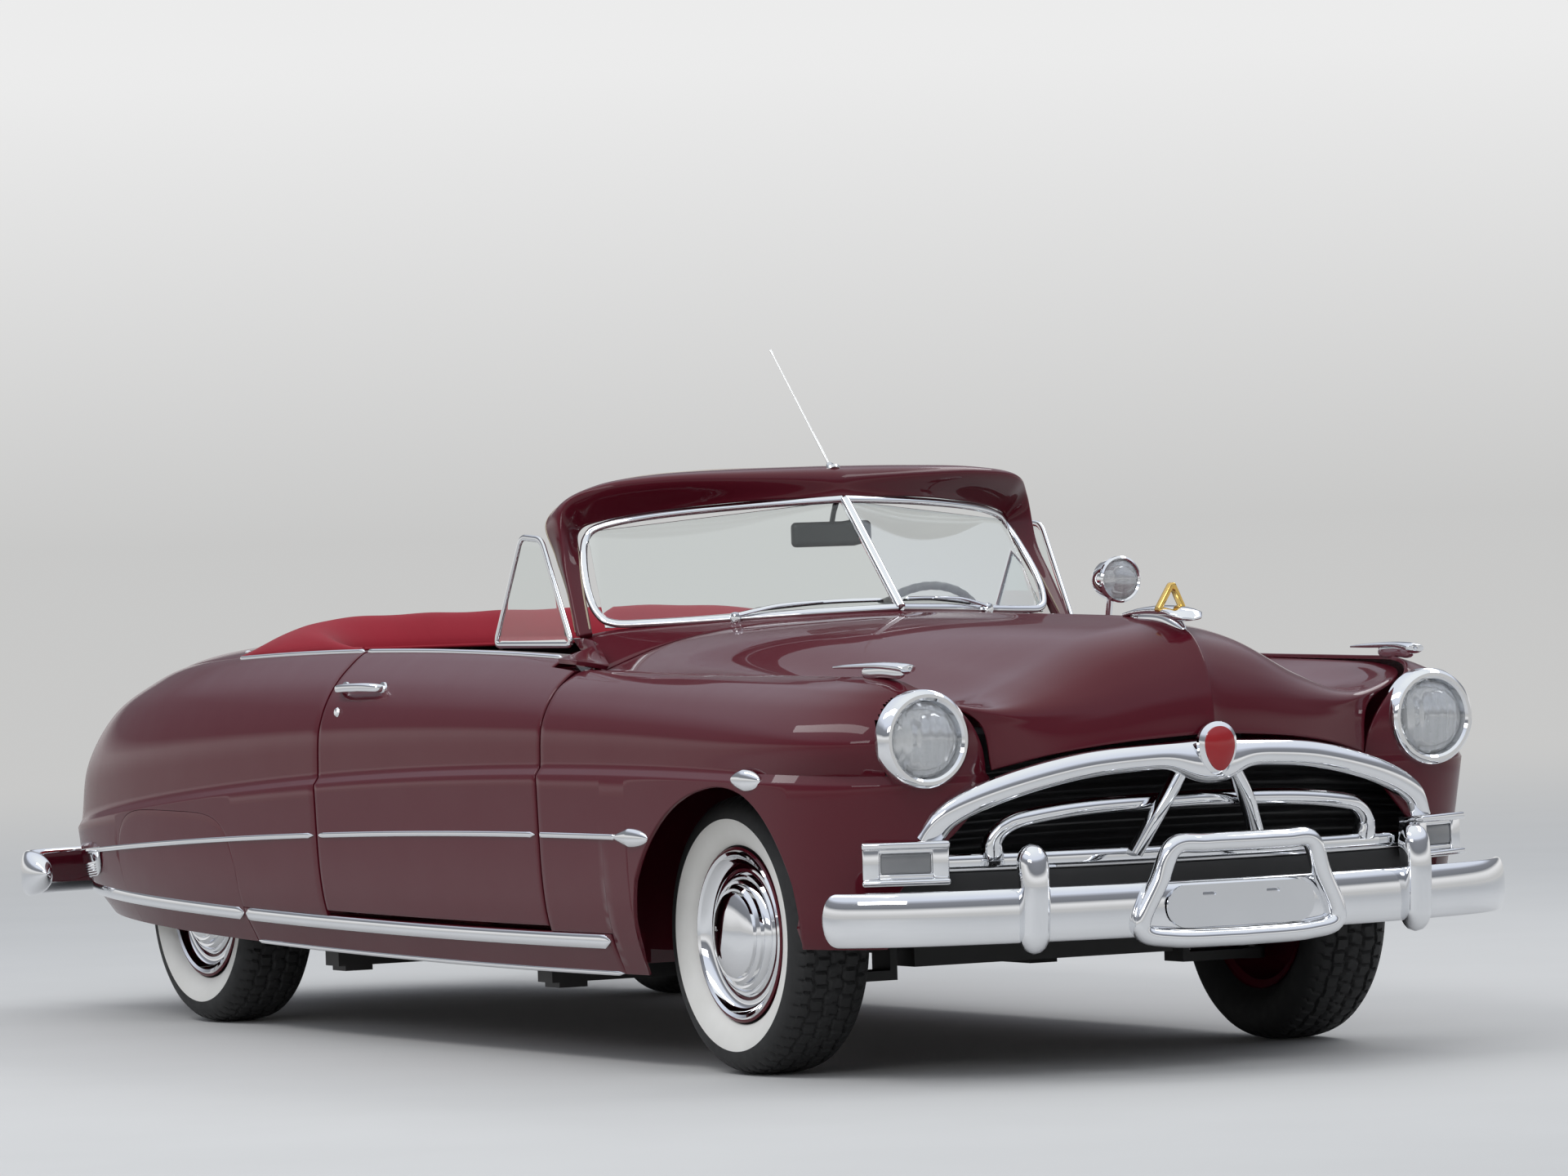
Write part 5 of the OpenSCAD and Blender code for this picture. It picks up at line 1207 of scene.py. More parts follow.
# %% Wheels and caps
WHEEL_SECTION = [[17, -36], [62, -36], [62, 14], [120, 34], [168, 30], [186, 6], [190, -72], [209, -78],
                 [211, -84], [212, -78], [204.7, -71], [204.7, -40], [197, -30], [197, 40], [204.7, 50],
                 [204.7, 71], [211, 78], [213, 84], [208, 87], [200, 84], [192, 72], [182, 64], [172, 60],
                 [150, 60], [150, 50], [60, 40], [17, 40], [17, -36]]
RING_SECTION = [[203, 72], [206, 86], [202, 90], [194, 86], [188, 76], [180, 69], [168, 65], [160, 66],
                [160, 62], [172, 58], [190, 66], [203, 72]]
CAP_SECTION = [[152, 60], [152, 66], [146, 72], [141, 72], [138, 78], [130, 84], [124, 83], [121, 90],
               [112, 96], [106, 95], [103, 101], [92, 106], [60, 111], [30, 114.5], [0, 116], [0, 100],
               [100, 80], [140, 60], [152, 60]]
for name, (x, y) in WHEEL_PLACES.items():
    disc, ring, cap = (spun(section, (x, y, TYRE_R), (0, math.copysign(1, y), 0), 128)
                       for section in (WHEEL_SECTION, RING_SECTION, CAP_SECTION))
    piece("wheel_" + name + "_disc", disc, burgundy, name + "_wheel", "wheel_paint", "wheel_" + name)
    plated("wheel_" + name + "_bright", joined(ring, cap), body=name + "_wheel", sharp=30)
print("tyre faces", PIECES["tyre_front_left_cover"])

# %% [markdown]
# ## Windshield: trim, wipers and mirror
# Two flat panes meet at a chrome divider. The bright surround follows the opening with round
# corners. Each pane is the plane through three corners, so the wipers are placed from its own axes:
# along the lower edge, up the pane and out from it.

# %% Surround and divider
GLASS = np.array([[1036, 3, 1108], [660, 648, 1082], [520, 618, 1326], [764, 3, 1386]], float)
SURROUND = np.array([
    [1036, 4, 1110], [935, 190, 1104], [820, 380, 1096], [722, 545, 1090], [672, 630, 1092], [640, 660, 1120],
    [600, 664, 1180], [548, 645, 1262], [524, 622, 1312], [540, 585, 1340], [600, 470, 1362],
    [690, 250, 1380], [762, 4, 1390]], float)
surround = bar(through(SURROUND, 121), oval(20, 16, 20), (1, 0.4, 0.6))
divider = bar(through(GLASS[[0, 3]] * [1, 0, 1] + [4, 0, 2], 25), oval(24, 24, 20), (1, 0, 0.9))
plated("screen_surround", joined(both(surround), divider), "windshield_trim")

# %% Panes
pane = panel(between_corners(*GLASS, 25, 17), 5, 0.6, outward=(1, 0, 1))
piece("screen_panes", both(pane), window_glass, "chassis", "pane", "windshield_glass")

# %% Wipers and mirror
edge_way = unit(GLASS[1] - GLASS[0])
pane_up = unit(np.cross(np.cross(edge_way, GLASS[3] - GLASS[0]), edge_way))
pane_out = np.cross(edge_way, pane_up)
pane_out = pane_out * np.sign(pane_out[0])


def on_pane(along, up, out):
    """Point counted from the divider's foot: along the lower edge, up the pane and out from it."""
    return GLASS[0] + along * edge_way + up * pane_up + out * pane_out


pivot = on_pane(415, -6, 22)
arm = bar(through([pivot, on_pane(300, 16, 24), on_pane(190, 26, 16)], 25), oval(9, 5, 12), pane_out,
          np.linspace(1.4, 0.7, 25))
blade = bar(through([on_pane(370, 20, 9), on_pane(190, 30, 9), on_pane(40, 26, 9)], 41), oval(9, 5, 12),
            pane_out, rounded_ends(41, 0.05))
knob = spun([[0, -22], [13, -22], [15, -6], [11, 6], [0, 9]], pivot, pane_out + pane_up, 32)
plated("wipers", both(joined(arm, blade, knob)))
squeegee = bar(through([on_pane(372, 19, 4), on_pane(190, 29, 4), on_pane(38, 25, 4)], 41), oval(5, 7, 10),
               pane_out)
piece("wiper_rubbers", both(squeegee), black_plastic, "chassis", "under_paint")

MIRROR = np.array([690.0, 0.0, 1300.0])
case = block(MIRROR - [14, 115, 32], MIRROR + [14, 115, 32], 13, 5)
stalk = bar(through([MIRROR + [4, 0, 20], MIRROR + [22, 0, 62], (735, 0, 1392)], 21), oval(13, 13, 14))
piece("mirror_case", joined(case, stalk), black_plastic, "chassis", "under_paint")
plated("mirror_face", block(MIRROR - [17, 106, 25], MIRROR - [12, -106, -25], 2))

# %% Lining of header and pillars
def lining_grid():
    """Strip across the frame's open inside, a little above the straight line between its two edges."""
    rows = spline(WINDSHIELD.reshape(8, 9), np.linspace(0, 6.9, 70)).reshape(70, 3, 3)
    u = np.linspace(0.06, 0.94, 12)[None, :, None]
    chord = rows[:, None, 0] * (1 - u) + rows[:, None, 2] * u
    crown = rows[:, None, 1] - (rows[:, None, 0] + rows[:, None, 2]) / 2
    half = chord + 0.25 * np.sin(np.pi * u) * crown
    return whole(half)


piece("header_lining", panel(lining_grid(), 4, 1.5, outward=(0, 0, -1)), trim_cloth, "chassis", "cover_cloth")

# %% [markdown]
# ## Vent windows
# The small panes that swing in front of the door windows have chrome frames: a bar bent round the
# pane's outline, with a rounded corner at each bend. They ride on the doors.

# %% Vent frames and panes
VENT = np.array([[222, 1036], [664, 1036], [507, 1318], [390, 1326]], float)
VENT_Y = 742.0


def soft_loop(corners, radius, steps=8):
    """Closed line through the corners, each cut by a small curve of the given reach."""
    before, after = np.roll(corners, 1, axis=0), np.roll(corners, -1, axis=0)
    a = corners + unit(before - corners) * radius
    b = corners + unit(after - corners) * radius
    t = np.linspace(0, 1, steps)[None, :, None]
    curve = a[:, None] * (1 - t) ** 2 + 2 * corners[:, None] * t * (1 - t) + b[:, None] * t**2
    return curve.reshape(-1, corners.shape[1])


inset = VENT + 9 * unit(VENT.mean(axis=0) - VENT)
line = soft_loop(inset, 26)
frame_path = xyz(line[:, 0], VENT_Y, line[:, 1])
vent_frame = bar(frame_path, oval(16, 12, 16, 3), (0, 1, 0), closed=True)
flat = between_corners(*inset, 15, 12)
pane_grid = xyz(flat[..., 0], VENT_Y + 2, flat[..., 1])
vent_pane = panel(pane_grid, 4, 0.6, outward=(0, 1, 0))
for side, turn in SIDES.items():
    plated("vent_frame_" + side, turn(vent_frame), "vent_window_" + side, body="door_" + side)
    piece("vent_pane_" + side, turn(vent_pane), window_glass, "door_" + side, "pane")

# %% [markdown]
# ## Bright strips and handles
# The strips lie on the side's own surface: a line of x and height is carried onto the levels, and a
# flat section follows it. A strip that crosses the door's gaps is cut in three, so that the middle
# stretch can ride on the door.

# %% Strips along the side
SPEAR = np.array([[1366, 577], [-445, 543], [-1026, 529], [-1822, 481]], float)
SPEAR_FIT = np.polyfit(SPEAR[:, 0], SPEAR[:, 1], 2)
CUTS = {"fender": (1300, 899), "door": (871, -383), "quarter": (-409, -2120)}
SPEAR_SIZE, SILL_SIZE, FOOT_SIZE, BELT_SIZE = (15, 10), (36, 13), (13, 10), (14, 12, 3)


def spear_line(x):
    """Line of the spear: a parabola of heights, carried onto the side."""
    return side_at(x, np.polyval(SPEAR_FIT, x))


def level_line(v):
    """Line along the side on one level."""
    def line(x):
        return side_point(x, np.full_like(x, v))
    return line


def strip(line, start, end, width, thick, proud=1.5, count=60, ends=0.01):
    """Flat bar along a line of the side, a little proud of it, with round ends."""
    x = np.linspace(start, end, count)
    return bar(line(x) + [0, proud, 0], oval(thick, width, 14, 2.4), (0, 0, 1), rounded_ends(count, ends))


sill_line, foot_line, belt_line = level_line(0.84), level_line(0.03), level_line(7.86)
fixed = [strip(spear_line, *CUTS["fender"], *SPEAR_SIZE), strip(spear_line, *CUTS["quarter"], *SPEAR_SIZE),
         strip(sill_line, 1200, SKIRT_FRONT + 4, *SILL_SIZE, count=80),
         strip(sill_line, SKIRT_FRONT - 6, -2330, *SILL_SIZE),
         strip(foot_line, 1200, SKIRT_FRONT + 4, *FOOT_SIZE, count=80),
         strip(belt_line, -402, DECK_X + 90, *BELT_SIZE)]
plated("side_strips", both(joined(*fixed)))


def bullet(line, x, length, radius, flat=0.55, noses=(2.0, 2.0)):
    """Long drop along the side: a round section that closes at both ends, flattened against the body."""
    t = np.linspace(-1, 1, 41)
    size = np.where(t > 0, rounded(np.abs(t), noses[0]), rounded(np.abs(t), noses[1]))
    path = line(x + t * length / 2)
    return bar(path, oval(2 * radius * flat, 2 * radius, 22, 2), (0, 0, 1), np.maximum(size, 0.02))


drops = joined(bullet(spear_line, 1372, 190, 24, noses=(2.0, 1.1)),
               bullet(level_line(3.3), 1945, 130, 27, noses=(2.0, 1.4)))
plated("side_bullets", both(drops))


def stone_guard():
    """Plate below the spear's rear end, drawn up to the spear in front, with ribs along its lower half."""
    x = np.linspace(-1930, -2300, 41)[:, None]
    h = np.linspace(0, 1, 49)[None, :]
    z = np.polyval(SPEAR_FIT, x) + 8 - h * (14 + 66 * rounded(np.clip((x + 2030) / 100, 0, 1), 2.2))
    p = side_at(np.broadcast_to(x, z.shape).ravel(), z.ravel()).reshape(41, 49, 3)
    p[..., 1] += 4 + 2.4 * np.where(h > 0.5, np.sin(h * 12 * np.pi) ** 2, 0)
    return panel(p, 5, 1.5, outward=(0, 1, 0))


plated("stone_guards", both(stone_guard()))

# %% Door strips and handles
grip = np.array([[-84, 1, 0], [-96, 26, 3], [-150, 36, 4], [-250, 36, 2], [-312, 26, -2], [-326, 3, -4]],
                float)
base = side_at(grip[:, 0], 934 + grip[:, 2])
swell = 0.75 + 0.35 * rounded_ends(61, 0.4)
handle = bar(through(base + grip * [0, 1, 0], 61), oval(15, 21, 20, 2.4), (0, 0, 1), swell)
lock = spun([[0, -4], [12, -4], [13, 3], [9, 8], [0, 9]], side_at(-300, 872)[0], (0, 1, 0.12), 32)
PLATE = [[0, -3], [20, -3], [19, 3], [0, 5]]
plates = [spun(PLATE, side_at(x, 932)[0], (0, 1, 0.2), 32) for x in (-90, -318)]
door_bright = joined(strip(spear_line, *CUTS["door"], *SPEAR_SIZE), strip(belt_line, 735, -388, *BELT_SIZE),
                     handle, lock, *plates)
for side, turn in SIDES.items():
    plated("door_bright_" + side, turn(door_bright), body="door_" + side)

# %% Spears on the fenders, and the hood's ornament
spear = through([[1990, 735, 984], [2060, 733, 986], [2200, 728, 988], [2290, 716, 983], [2316, 711, 976]],
                61)
wing = np.stack([np.interp(np.linspace(0, 1, 61), [0, 0.6, 0.9, 1], [0.1, 0.8, 1, 0.15]),
                 np.interp(np.linspace(0, 1, 61), [0, 0.7, 0.92, 1], [0.2, 0.9, 1, 0.2])], axis=1)
pedestal = bar(through([[2120, 731, 972], [2220, 725, 976], [2296, 715, 970]], 31), oval(28, 36, 20),
               (0, 0, 1), rounded_ends(31, 0.3))
plated("fender_spears", both(joined(bar(spear, oval(46, 24, 24, 2.2), (0, 0, 1), wing), pedestal)))

FIN = np.array([[2122, 0, 1086], [2200, 0, 1093], [2300, 0, 1096], [2380, 0, 1091], [2438, 0, 1074]], float)
t = np.linspace(0, 1, 71)
fin_size = np.stack([np.interp(t, [0, 0.55, 0.86, 0.97, 1], [0.12, 0.7, 1, 0.6, 0.1]),
                     np.interp(t, [0, 0.5, 0.9, 1], [0.3, 1, 1, 0.2])], axis=1)
fin = bar(through(FIN, 71), oval(92, 26, 28, 2.2), (0, 0, 1), fin_size)
keel = bar(through([[2150, 0, 1074], [2300, 0, 1072], [2400, 0, 1044]], 41), oval(30, 44, 24, 2.2), (0, 0, 1),
           rounded_ends(41, 0.3))
plated("ornament_fin", joined(fin, keel), "hood_ornament", body="hood")
loop_corners = np.array([[-36, 1096], [0, 1160], [36, 1096]], float)
gilt = soft_loop(loop_corners, 7)
gilt = xyz(2334 + 0.15 * (gilt[:, 1] - 1096), gilt[:, 0], gilt[:, 1])
piece("ornament_loop", bar(gilt, oval(11, 24, 16, 4), (1, 0, 0), closed=True), gold, "hood", "bright_trim")

# %% [markdown]
# ## Rear lamps, spot lamp and antenna
# Each tail lamp is a red glass dome in a bright bezel. The spot lamp stands on the left pillar's
# foot and the antenna on the header.

# %% Lamps at the rear, spot lamp and antenna
TAIL_LAMP, TAIL_AXIS = tail_point(650.0, 4.2), np.array([-0.94, 0.34, 0.0])
bezel = spun([[52, -14], [54, 4], [53, 14], [48, 18], [43, 15], [42, 4], [42, -14]], TAIL_LAMP, TAIL_AXIS, 72)
DOME = [[43, 6], [43, 20], [39, 31], [29, 39], [15, 43], [0, 44], [0, 30], [30, 26], [40, 6]]
dome = spun(DOME, TAIL_LAMP, TAIL_AXIS, 72)
plated("tail_bezels", both(bezel))
piece("tail_domes", both(dome), red_glass, "chassis", "tail_glass", "tail_lamps")

SPOT = np.array([778.0, 762.0, 1160.0])
shell = spun([[0, -14], [22, -10], [40, 4], [51, 30], [55, 62], [57, 76], [61, 80], [61, 88], [56, 92],
              [52, 88], [52, 80], [44, 50], [24, 26], [0, 20]], SPOT, (1, 0, 0), 80)
post = bar(through([[792, 762, 1002], [797, 762, 1050], [810, 762, 1112]], 21), oval(17, 17, 16))
foot = spun([[0, -6], [26, -6], [24, 6], [12, 14], [0, 16]], (792, 762, 1006), (0, 0.2, 1), 40)
plated("spot_shell", joined(shell, post, foot), "spot_lamp", sharp=30)
lens = spun([[52, 86], [40, 92], [20, 96], [0, 97], [0, 93], [20, 92], [40, 88], [50, 83]], SPOT, (1, 0, 0),
            80)
piece("spot_glass", lens, lamp_glass, "chassis", "lamp_glass")

MAST_FOOT, MAST_LENGTH, MAST_LEAN = np.array([710.0, 0.0, 1462.0]), 449, math.radians(44)
MAST_WAY = np.array([-math.sin(MAST_LEAN), 0, math.cos(MAST_LEAN)])
taper = np.interp(np.linspace(0, 1, 40), [0, 0.3, 0.31, 0.96, 0.97, 1], [1.2, 1.2, 0.85, 0.6, 1.3, 1.1])
mast_line = MAST_FOOT + np.linspace(0, MAST_LENGTH, 40)[:, None] * MAST_WAY
mast = bar(mast_line, oval(5, 5, 12, 2), (0, 1, 0), taper)
cup = spun([[0, -4], [20, -2], [22, 5], [14, 12], [9, 24], [5, 30], [0, 31]], MAST_FOOT, MAST_WAY, 40)
piece("antenna_mast", joined(mast, cup), stainless, "chassis", "bright_trim", "antenna")

# %% Handle on the lid
seat = tail_point(0.0, 5.35)
lid_handle = bar(through(seat + [[4, -62, 6], [-20, -50, 4], [-30, 0, 2], [-20, 50, 4], [4, 62, 6]], 41),
                 oval(15, 20, 18), (0, 0, 1))
plated("lid_handle", lid_handle, body="deck_lid")
print("trim", len(PIECES), "pieces")

# %% [markdown]
# ## Seats
# A bench seat is a cushion and a backrest. Each is a closed side profile carried across the cabin; it
# draws in at both ends like a stuffed edge, and upright channels are pressed into the seating
# faces. The fullness comes from the profile itself, so no simulation is needed.

# %% Padded benches
FLOOR_Z, TUNNEL_Y, TUNNEL_TOP = 257.3, 132.0, 471.0
END_TUCK, TUCK_REACH, PLAIN_END = 26.0, 34.0, 60.0
CHANNEL, CHANNEL_DEPTH, CHANNEL_HALF, FULLNESS = 112.0, 7.0, 7.0, 3.0
FRONT_CUSHION = np.array([[600, 258], [606, 330], [604, 410], [588, 472], [540, 506], [430, 505], [300, 494],
                          [170, 482], [60, 470], [-18, 440], [-20, 340], [-20, 258]], float)
FRONT_BACK = np.array([[152, 478], [110, 560], [68, 645], [40, 740], [18, 830], [2, 925], [-38, 966],
                       [-84, 956], [-110, 898], [-92, 770], [-70, 640], [-44, 520], [-20, 440], [60, 452]],
                       float)
REAR_CUSHION = np.array([[-430, 258], [-428, 380], [-425, 478], [-450, 525], [-500, 541], [-620, 536],
                         [-740, 526], [-800, 518], [-852, 500], [-852, 380], [-852, 258]], float)
REAR_BACK = np.array([[-786, 516], [-812, 590], [-845, 700], [-872, 800], [-890, 882], [-905, 950],
                      [-926, 974], [-968, 974], [-984, 930], [-955, 820], [-925, 700], [-900, 600],
                      [-852, 574], [-845, 520]], float)


def closed_profile(points, count):
    """Smooth closed curve through the points."""
    ring = np.concatenate([points[-2:], points, points[:3]])
    return spline(ring, 2 + np.linspace(0, len(points), count, endpoint=False))


def bench(profile, half_width, count=84, across=101):
    """Profile carried across the cabin. Both ends are rounded, channels every few centimetres are
    pressed into the faces, and the foot leaves room for the tunnel."""
    curve = closed_profile(profile, count)
    centre = curve.mean(axis=0)
    way = unit(np.roll(curve, -1, axis=0) - np.roll(curve, 1, axis=0))
    normal = np.stack([way[:, 1], -way[:, 0]], axis=1)
    normal = normal * np.sign(np.sum(normal * (curve - centre)))
    s = np.linspace(-1, 1, across)
    y = half_width * np.sign(s) * (1 - (1 - np.abs(s)) ** 1.35)
    end = half_width - np.abs(y)
    tuck = END_TUCK * (1 - np.clip(end / TUCK_REACH, 0, 1)) ** 2
    beside = (y + CHANNEL / 2) % CHANNEL - CHANNEL / 2
    groove = CHANNEL_DEPTH * np.exp(-(beside / CHANNEL_HALF) ** 2) * (end > PLAIN_END)
    soft = FULLNESS * np.cos(2 * np.pi * y / CHANNEL) * (end > PLAIN_END)
    seat = np.clip((curve[:, 1] - profile[:, 1].min() - PLAIN_END) / PLAIN_END, 0, 1)[:, None]
    p = curve[:, None, :] - normal[:, None, :] * (tuck + seat * (groove + soft))[..., None]
    x, z = p[..., 0], np.maximum(p[..., 1], FLOOR_Z + 0.5)
    z = np.where((np.abs(y)[None, :] < TUNNEL_Y) & (z < TUNNEL_TOP), TUNNEL_TOP, z)
    rings = xyz(x, y, z).transpose(1, 0, 2)
    return capped(rings, rings[[0, -1]].mean(axis=1))


BENCHES = {"front": (676, FRONT_CUSHION, FRONT_BACK), "rear": (550, REAR_CUSHION, REAR_BACK)}
for place, (half_width, *profiles) in BENCHES.items():
    part = joined(*(bench(profile, half_width) for profile in profiles))
    made = piece(place + "_bench", part, leather, "chassis", "seat_leather", place + "_seat", sharp=70)

# %% [markdown]
# ## Boot cover
# The folded top lies under a tight canvas cover: full width at the back, with an arm along each side of
# the rear seat. It is a thin sheet that runs from the deck's edge over a dome to the cabin and comes
# down to the belt at the sides. The top's bows show as soft ridges, with small puckers at both edges.

# %% Canvas sheet
COVER_REAR, COVER_FRONT, COVER_ARM, COVER_RISE, COVER_DEPTH = -1246.0, -932.0, 490.0, 96.0, 0.85


def deck_rise(y, edge):
    """Height of the deck's front edge over the belt: crowned in the middle, then down to the body's edge."""
    out = np.clip((edge - np.abs(y)) / (edge - TAIL_Y), 0, 1)
    side = DECK_LIFT * out + DECK_BULGE * np.sin(np.pi * out) ** 0.8
    return np.where(np.abs(y) < TAIL_Y, DECK_LIFT + DECK_CROWN * (1 - (y / TAIL_Y) ** 2), side)


def cover_grid():
    """Sheet from the deck's edge over a dome to the cabin: a smooth maximum of the two heights."""
    s = np.sin(np.linspace(-np.pi / 2, np.pi / 2, 137))[:, None]
    u = np.linspace(0, 1, 49)[None, :]
    front = COVER_FRONT + COVER_ARM * np.abs(s) ** 9
    x = COVER_REAR + u * (front - COVER_REAR)
    edge = side_point(x, BELT)[..., 1] - 3
    puff = np.clip(np.sin(np.pi * u), 0, 1) ** 0.6 * np.clip(1 - np.abs(s) ** 6, 0, 1) ** 0.5
    bows = 5 * np.cos(u * 9.4) * puff + 3.5 * np.cos(s * 22 + 3 * u) * puff * (1 - u)
    pucker = 3 * np.cos(s * 120) * np.exp(-((u - 1) / 0.1) ** 2) * puff
    pucker = pucker + 2.5 * np.cos(s * 150) * np.exp(-(u / 0.12) ** 2) * puff
    rise = ((COVER_RISE * puff) ** 6 + (deck_rise(edge * s, edge) * (1 - u)) ** 6) ** (1 / 6)
    z = height_at(x, BELT) + 3 + rise + bows + pucker
    return xyz(x, edge * s, z)


grid = cover_grid()
sheet = panel(grid, 2.5, 1.0, outward=(0, 0, 1))
cover = piece("boot_canvas", sheet, canvas, "chassis", "cover_cloth", "boot_cover")
hem = bar(grid[1:-1, -1] + [4, 0, 2], oval(9, 9, 12, 2))
piece("canvas_piping", hem, canvas, "chassis", "cover_cloth")
SNAP = [[0, -1], [8, -1], [8, 2], [5, 5], [0, 6]]
snaps = [spun(SNAP, p, (0, 0, 1), 20) for p in grid[8:-8:10, 2] + [0, 0, 2]]
plated("canvas_snaps", joined(*snaps))

# %% [markdown]
# ## Dashboard and steering wheel
# The painted dashboard has two round dials with plain faces, a bright strip and a few knobs. The
# steering wheel is a thin rim with finger grips, three spokes and a horn ring.

# %% Dashboard
DASH_REAR, DASH_Z = 560.0, 925.0
dash = joined(block((560, -668, 790), (640, 668, 1030), 26, 6), block((630, -585, 800), (983, 585, 985), 10))
painted("dash_panel", dash, "dashboard")
REARWARD = (-1, 0, 0)
dials, faces, needles = [], [], []
for y, size in ((300, 64), (460, 64), (380, 30)):
    z = DASH_Z if size > 40 else DASH_Z - 70
    centre = (DASH_REAR, y, z)
    ring = [[size - 6, -4], [size - 6, 5], [size - 2, 9], [size + 3, 8], [size + 5, 0], [size + 5, -4]]
    dials.append(spun(ring, centre, REARWARD, 72))
    faces.append(spun([[0, 2], [size - 5, 2], [size - 5, -4], [0, -4]], centre, REARWARD, 64))
    reach = np.array([[DASH_REAR - 4, y - k * size, z + k * size] for k in (-0.2, 0.55)])
    needles.append(bar(through(reach, 9), oval(4, 2, 10), (1, 0, 0), np.linspace(1.4, 0.4, 9)))
strips = [block((552, -640, z), (562, 200, z + 7), 3) for z in (960, 978)]
KNOB = [[0, -2], [9, -2], [9, 12], [14, 18], [14, 26], [9, 30], [0, 31]]
knobs = [spun(KNOB, (DASH_REAR, y, 850), REARWARD, 40) for y in (-420, -120, -40, 40, 120)]
plated("dash_bright", joined(*dials, *strips, *knobs))
piece("dash_faces", joined(*faces), dial_face, "chassis", "rim_ivory")
piece("dash_needles", joined(*needles), black_plastic, "chassis", "under_paint")

# %% Steering wheel
WHEEL_MID, RAKE, RIM_R = np.array([459.0, 370.0, 974.0]), math.radians(27), 204.0
TO_DRIVER = np.array([-math.cos(RAKE), 0, math.sin(RAKE)])
WHEEL_UP = np.array([math.sin(RAKE), 0, math.cos(RAKE)])


def on_wheel(angle, radius, lift=0.0):
    """Point of the wheel's plane: angle from its top, radius, and height towards the driver."""
    angle, radius = np.broadcast_arrays(np.asarray(angle, float), np.asarray(radius, float))
    flat = np.cos(angle)[..., None] * WHEEL_UP + np.sin(angle)[..., None] * np.array([0, 1, 0])
    return WHEEL_MID + radius[..., None] * flat + np.asarray(lift, float)[..., None] * TO_DRIVER


turn = circle(240)
grips = 1 - 0.07 * (np.cos(turn * 40) > 0.3)
rim = bar(on_wheel(turn, RIM_R), oval(23, 23, 18, 2.1), TO_DRIVER, grips, closed=True)
spokes = []
for a in (90, 210, 330):
    r = np.linspace(30, RIM_R - 4, 25)
    way = on_wheel(np.full(25, math.radians(a)), r, -14 + 10 * (r / RIM_R) ** 2)
    spokes.append(bar(way, oval(30, 11, 18, 2.4), TO_DRIVER, np.linspace(1.2, 0.75, 25)))
boss = spun([[0, -40], [30, -40], [34, -24], [42, -6], [40, 6], [28, 14], [0, 17]], WHEEL_MID, TO_DRIVER, 64)
shaft = spun([[0, -218], [12, -218], [12, -30], [0, -30]], WHEEL_MID, TO_DRIVER, 32)
wheel = joined(rim, boss, shaft, *spokes)
piece("steering_rim", wheel, wheel_plastic, "steering_wheel", "rim_ivory", "steering_wheel")
horn = bar(on_wheel(turn, 118.0, 6.0), oval(8, 8, 12, 2), TO_DRIVER, closed=True)
stays = []
for a in (90, 270):
    way = on_wheel(np.full(9, math.radians(a)), np.linspace(38, 117, 9), np.full(9, 5.0))
    stays.append(bar(way, oval(7, 7, 10, 2), TO_DRIVER))
button = spun([[0, 14], [30, 14], [27, 20], [0, 23]], WHEEL_MID, TO_DRIVER, 48)
plated("horn_ring", joined(horn, button, *stays), body="steering_wheel")

# %% [markdown]
# ## Door linings
# Inside each door a leather lining with upright channels covers the slab's inner face, with an
# armrest and a window crank.

# %% Linings
share, v = np.linspace(0.02, 0.98, 90)[:, None], np.linspace(1.5, 7.7, 30)[None, :]
front = np.where(v > NOTCH, DOOR_SHOULDER, DOOR_FRONT) - DOOR_BEVEL
skin = side_point(front + share * (DOOR_REAR + DOOR_BEVEL - front), np.broadcast_to(v, (90, 30)))
skin[..., 1] -= door_depth(v) + 0.5
LINING_T, LINING_CHANNEL = 6, 84
lining_face = skin - [0, LINING_T, 0]
lining_face[..., 1] -= 3 * np.cos(skin[..., 0] * 2 * np.pi / LINING_CHANNEL) * (v > 2.4) * (v < 6.2)
lining = panel(lining_face, hem=2.0, outward=(0, -1, 0), inner=skin)
rest_line = through([[430, 832, 700], [300, 812, 708], [60, 808, 706], [-60, 824, 700]], 41)
armrest = bar(rest_line, oval(62, 56, 24, 2.6), (0, 0, 1), rounded_ends(41, 0.14))
crank = joined(spun([[0, -4], [22, -4], [20, 8], [0, 12]], (430, 846, 590), (0, -1, 0), 40),
               bar(through([[430, 834, 590], [400, 828, 560], [372, 830, 530]], 17), oval(10, 14, 12),
                   (0, 1, 0)),
               spun([[0, 0], [12, 0], [14, 16], [10, 26], [0, 28]], (372, 832, 530), (0, -1, 0), 32))
for side, turn in SIDES.items():
    piece("door_lining_" + side, turn(joined(lining, armrest)), leather, "door_" + side, "seat_leather",
          sharp=60)
    plated("door_crank_" + side, turn(crank), body="door_" + side)

# %% [markdown]
# ## Solids that stay
# The frame, floor, engine and running gear show as the solids they are. Each gets a finish of its own:
# black paint below, oiled steel on moving parts, carpet on the floor and chrome on the blank plate.

# %% Finishes for the solids
KEPT = {
    chassis_black: ("unit_frame", "rear_axle", "front_suspension", "fuel_tank"),
    oiled_steel: ("driveline", "leaf_springs", "exhaust", "knuckle_left", "knuckle_right"),
    carpet: ("floor_tub",), burgundy: ("cowl",), chrome: ("plate_panel",), iron: ("engine",),
    wheel_plastic: ("steering_column",)}
for finish, names in KEPT.items():
    for place in (slot for name in names for slot in NODES[name].material_slots):
        place.material = finish
print("solids finished", sum(len(names) for names in KEPT.values()))

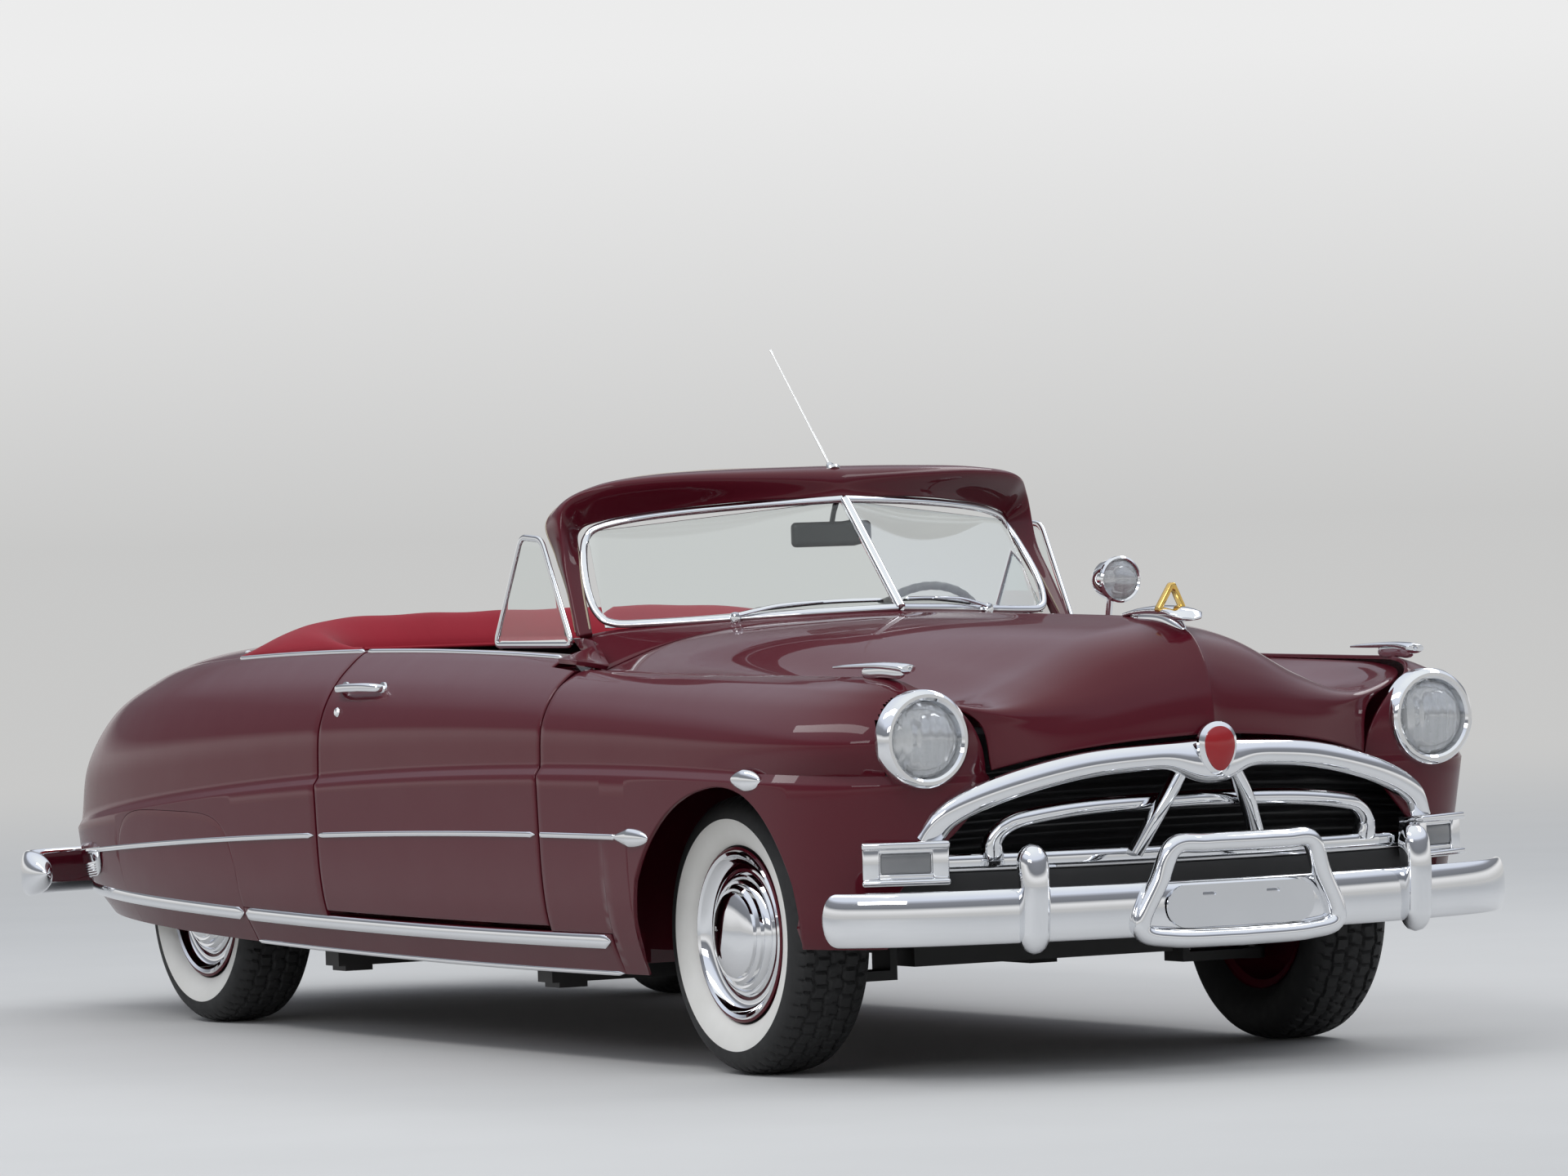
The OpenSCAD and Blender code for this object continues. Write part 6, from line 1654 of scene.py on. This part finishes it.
# %% [markdown]
# ## Stage and light
# The floor is pale and plain, and far from the car it passes into the brightness of the horizon, so
# that no edge shows behind the car. The sky is grey at the horizon and rises to a bright wall. Above it a
# dark belt draws long lines on chrome and keeps the paint deep, and higher up the sky is bright and cool.
# Three long soft lamps add form.

# %% Floor
HORIZON, WALL = rgb(0.58, 0.58, 0.575), rgb(0.84, 0.84, 0.84)
FADE_NEAR, FADE_FAR = 5.0, 24.0
stage = Finish("studio floor", Roughness=0.9)
stage.colour(stage.noise(1.5, 3.0), (0.54, 0.535, 0.525), (0.58, 0.575, 0.565))
place = stage.add("TexCoord", out="Object")
distance = stage.add("VectorMath", {"operation": "LENGTH"}, {0: place}, out="Value")
far = stage.add("MapRange", {"interpolation_type": "SMOOTHSTEP"}, {0: distance, 1: FADE_NEAR, 2: FADE_FAR})
glow = stage.add("Emission", {}, {"Color": HORIZON, "Strength": 1.0})
shade = stage.add("MixShader", {}, {0: far, 1: Value(stage, stage.surface.outputs[0]), 2: glow})
stage.feed(stage.tree.nodes["Material Output"].inputs["Surface"], shade)
bpy.ops.mesh.primitive_plane_add(size=160, location=(0, 0, 0))
floor = bpy.context.object
floor.name = "floor"
floor.data.materials.append(stage.material)


# %% Sky and lamps
class Sky(Finish):
    """The world's node tree, written with the same arithmetic."""

    def __init__(self, name):
        world = bpy.data.worlds.new(name)
        world.use_nodes = True
        bpy.context.scene.world = world
        self.tree = world.node_tree
        self.surface = self.tree.nodes["Background"]


SKY_STOPS = [(0.0, HORIZON), (0.06, WALL), (0.09, WALL), (0.15, rgb(0.2, 0.21, 0.23)),
             (0.3, rgb(0.26, 0.27, 0.3)), (0.44, rgb(0.74, 0.79, 0.9)), (1.0, rgb(0.94, 0.98, 1.0))]
sky = Sky("studio sky")
height = sky.add("SeparateXYZ", {}, {0: sky.add("TexCoord", out="Object")}, out="Z")
sky.feed(sky.surface.inputs["Color"], sky.add("ValToRGB", {"stops": SKY_STOPS}, {0: height}))


def soft_lamp(name, place, target, size, power):
    """Rectangular area lamp at a place, facing a target."""
    data = bpy.data.lights.new(name, "AREA")
    data.shape = "RECTANGLE"
    data.size, data.size_y = size
    data.energy = power
    lamp = bpy.data.objects.new(name, data)
    bpy.context.scene.collection.objects.link(lamp)
    lamp.location = place
    lamp.rotation_euler = (Vector(target) - Vector(place)).to_track_quat("-Z", "Y").to_euler()


soft_lamp("right strip", (0.5, -4.4, 5.5), (0, 0, 0.5), (9, 1.2), 150)
soft_lamp("left strip", (0.5, 4.4, 5.5), (0, 0, 0.5), (9, 1.2), 120)
soft_lamp("front side", (9.0, -9.0, 4.5), (0, 0, 0.6), (6, 1.6), 140)
bpy.context.scene.view_settings.view_transform = "Standard"
print("stage ready")

# %% [markdown]
# ## Count the pieces
# The number of pieces and of their faces is printed.

# %% Count of pieces and faces
print("pieces", len(PIECES), "faces", sum(PIECES.values()))
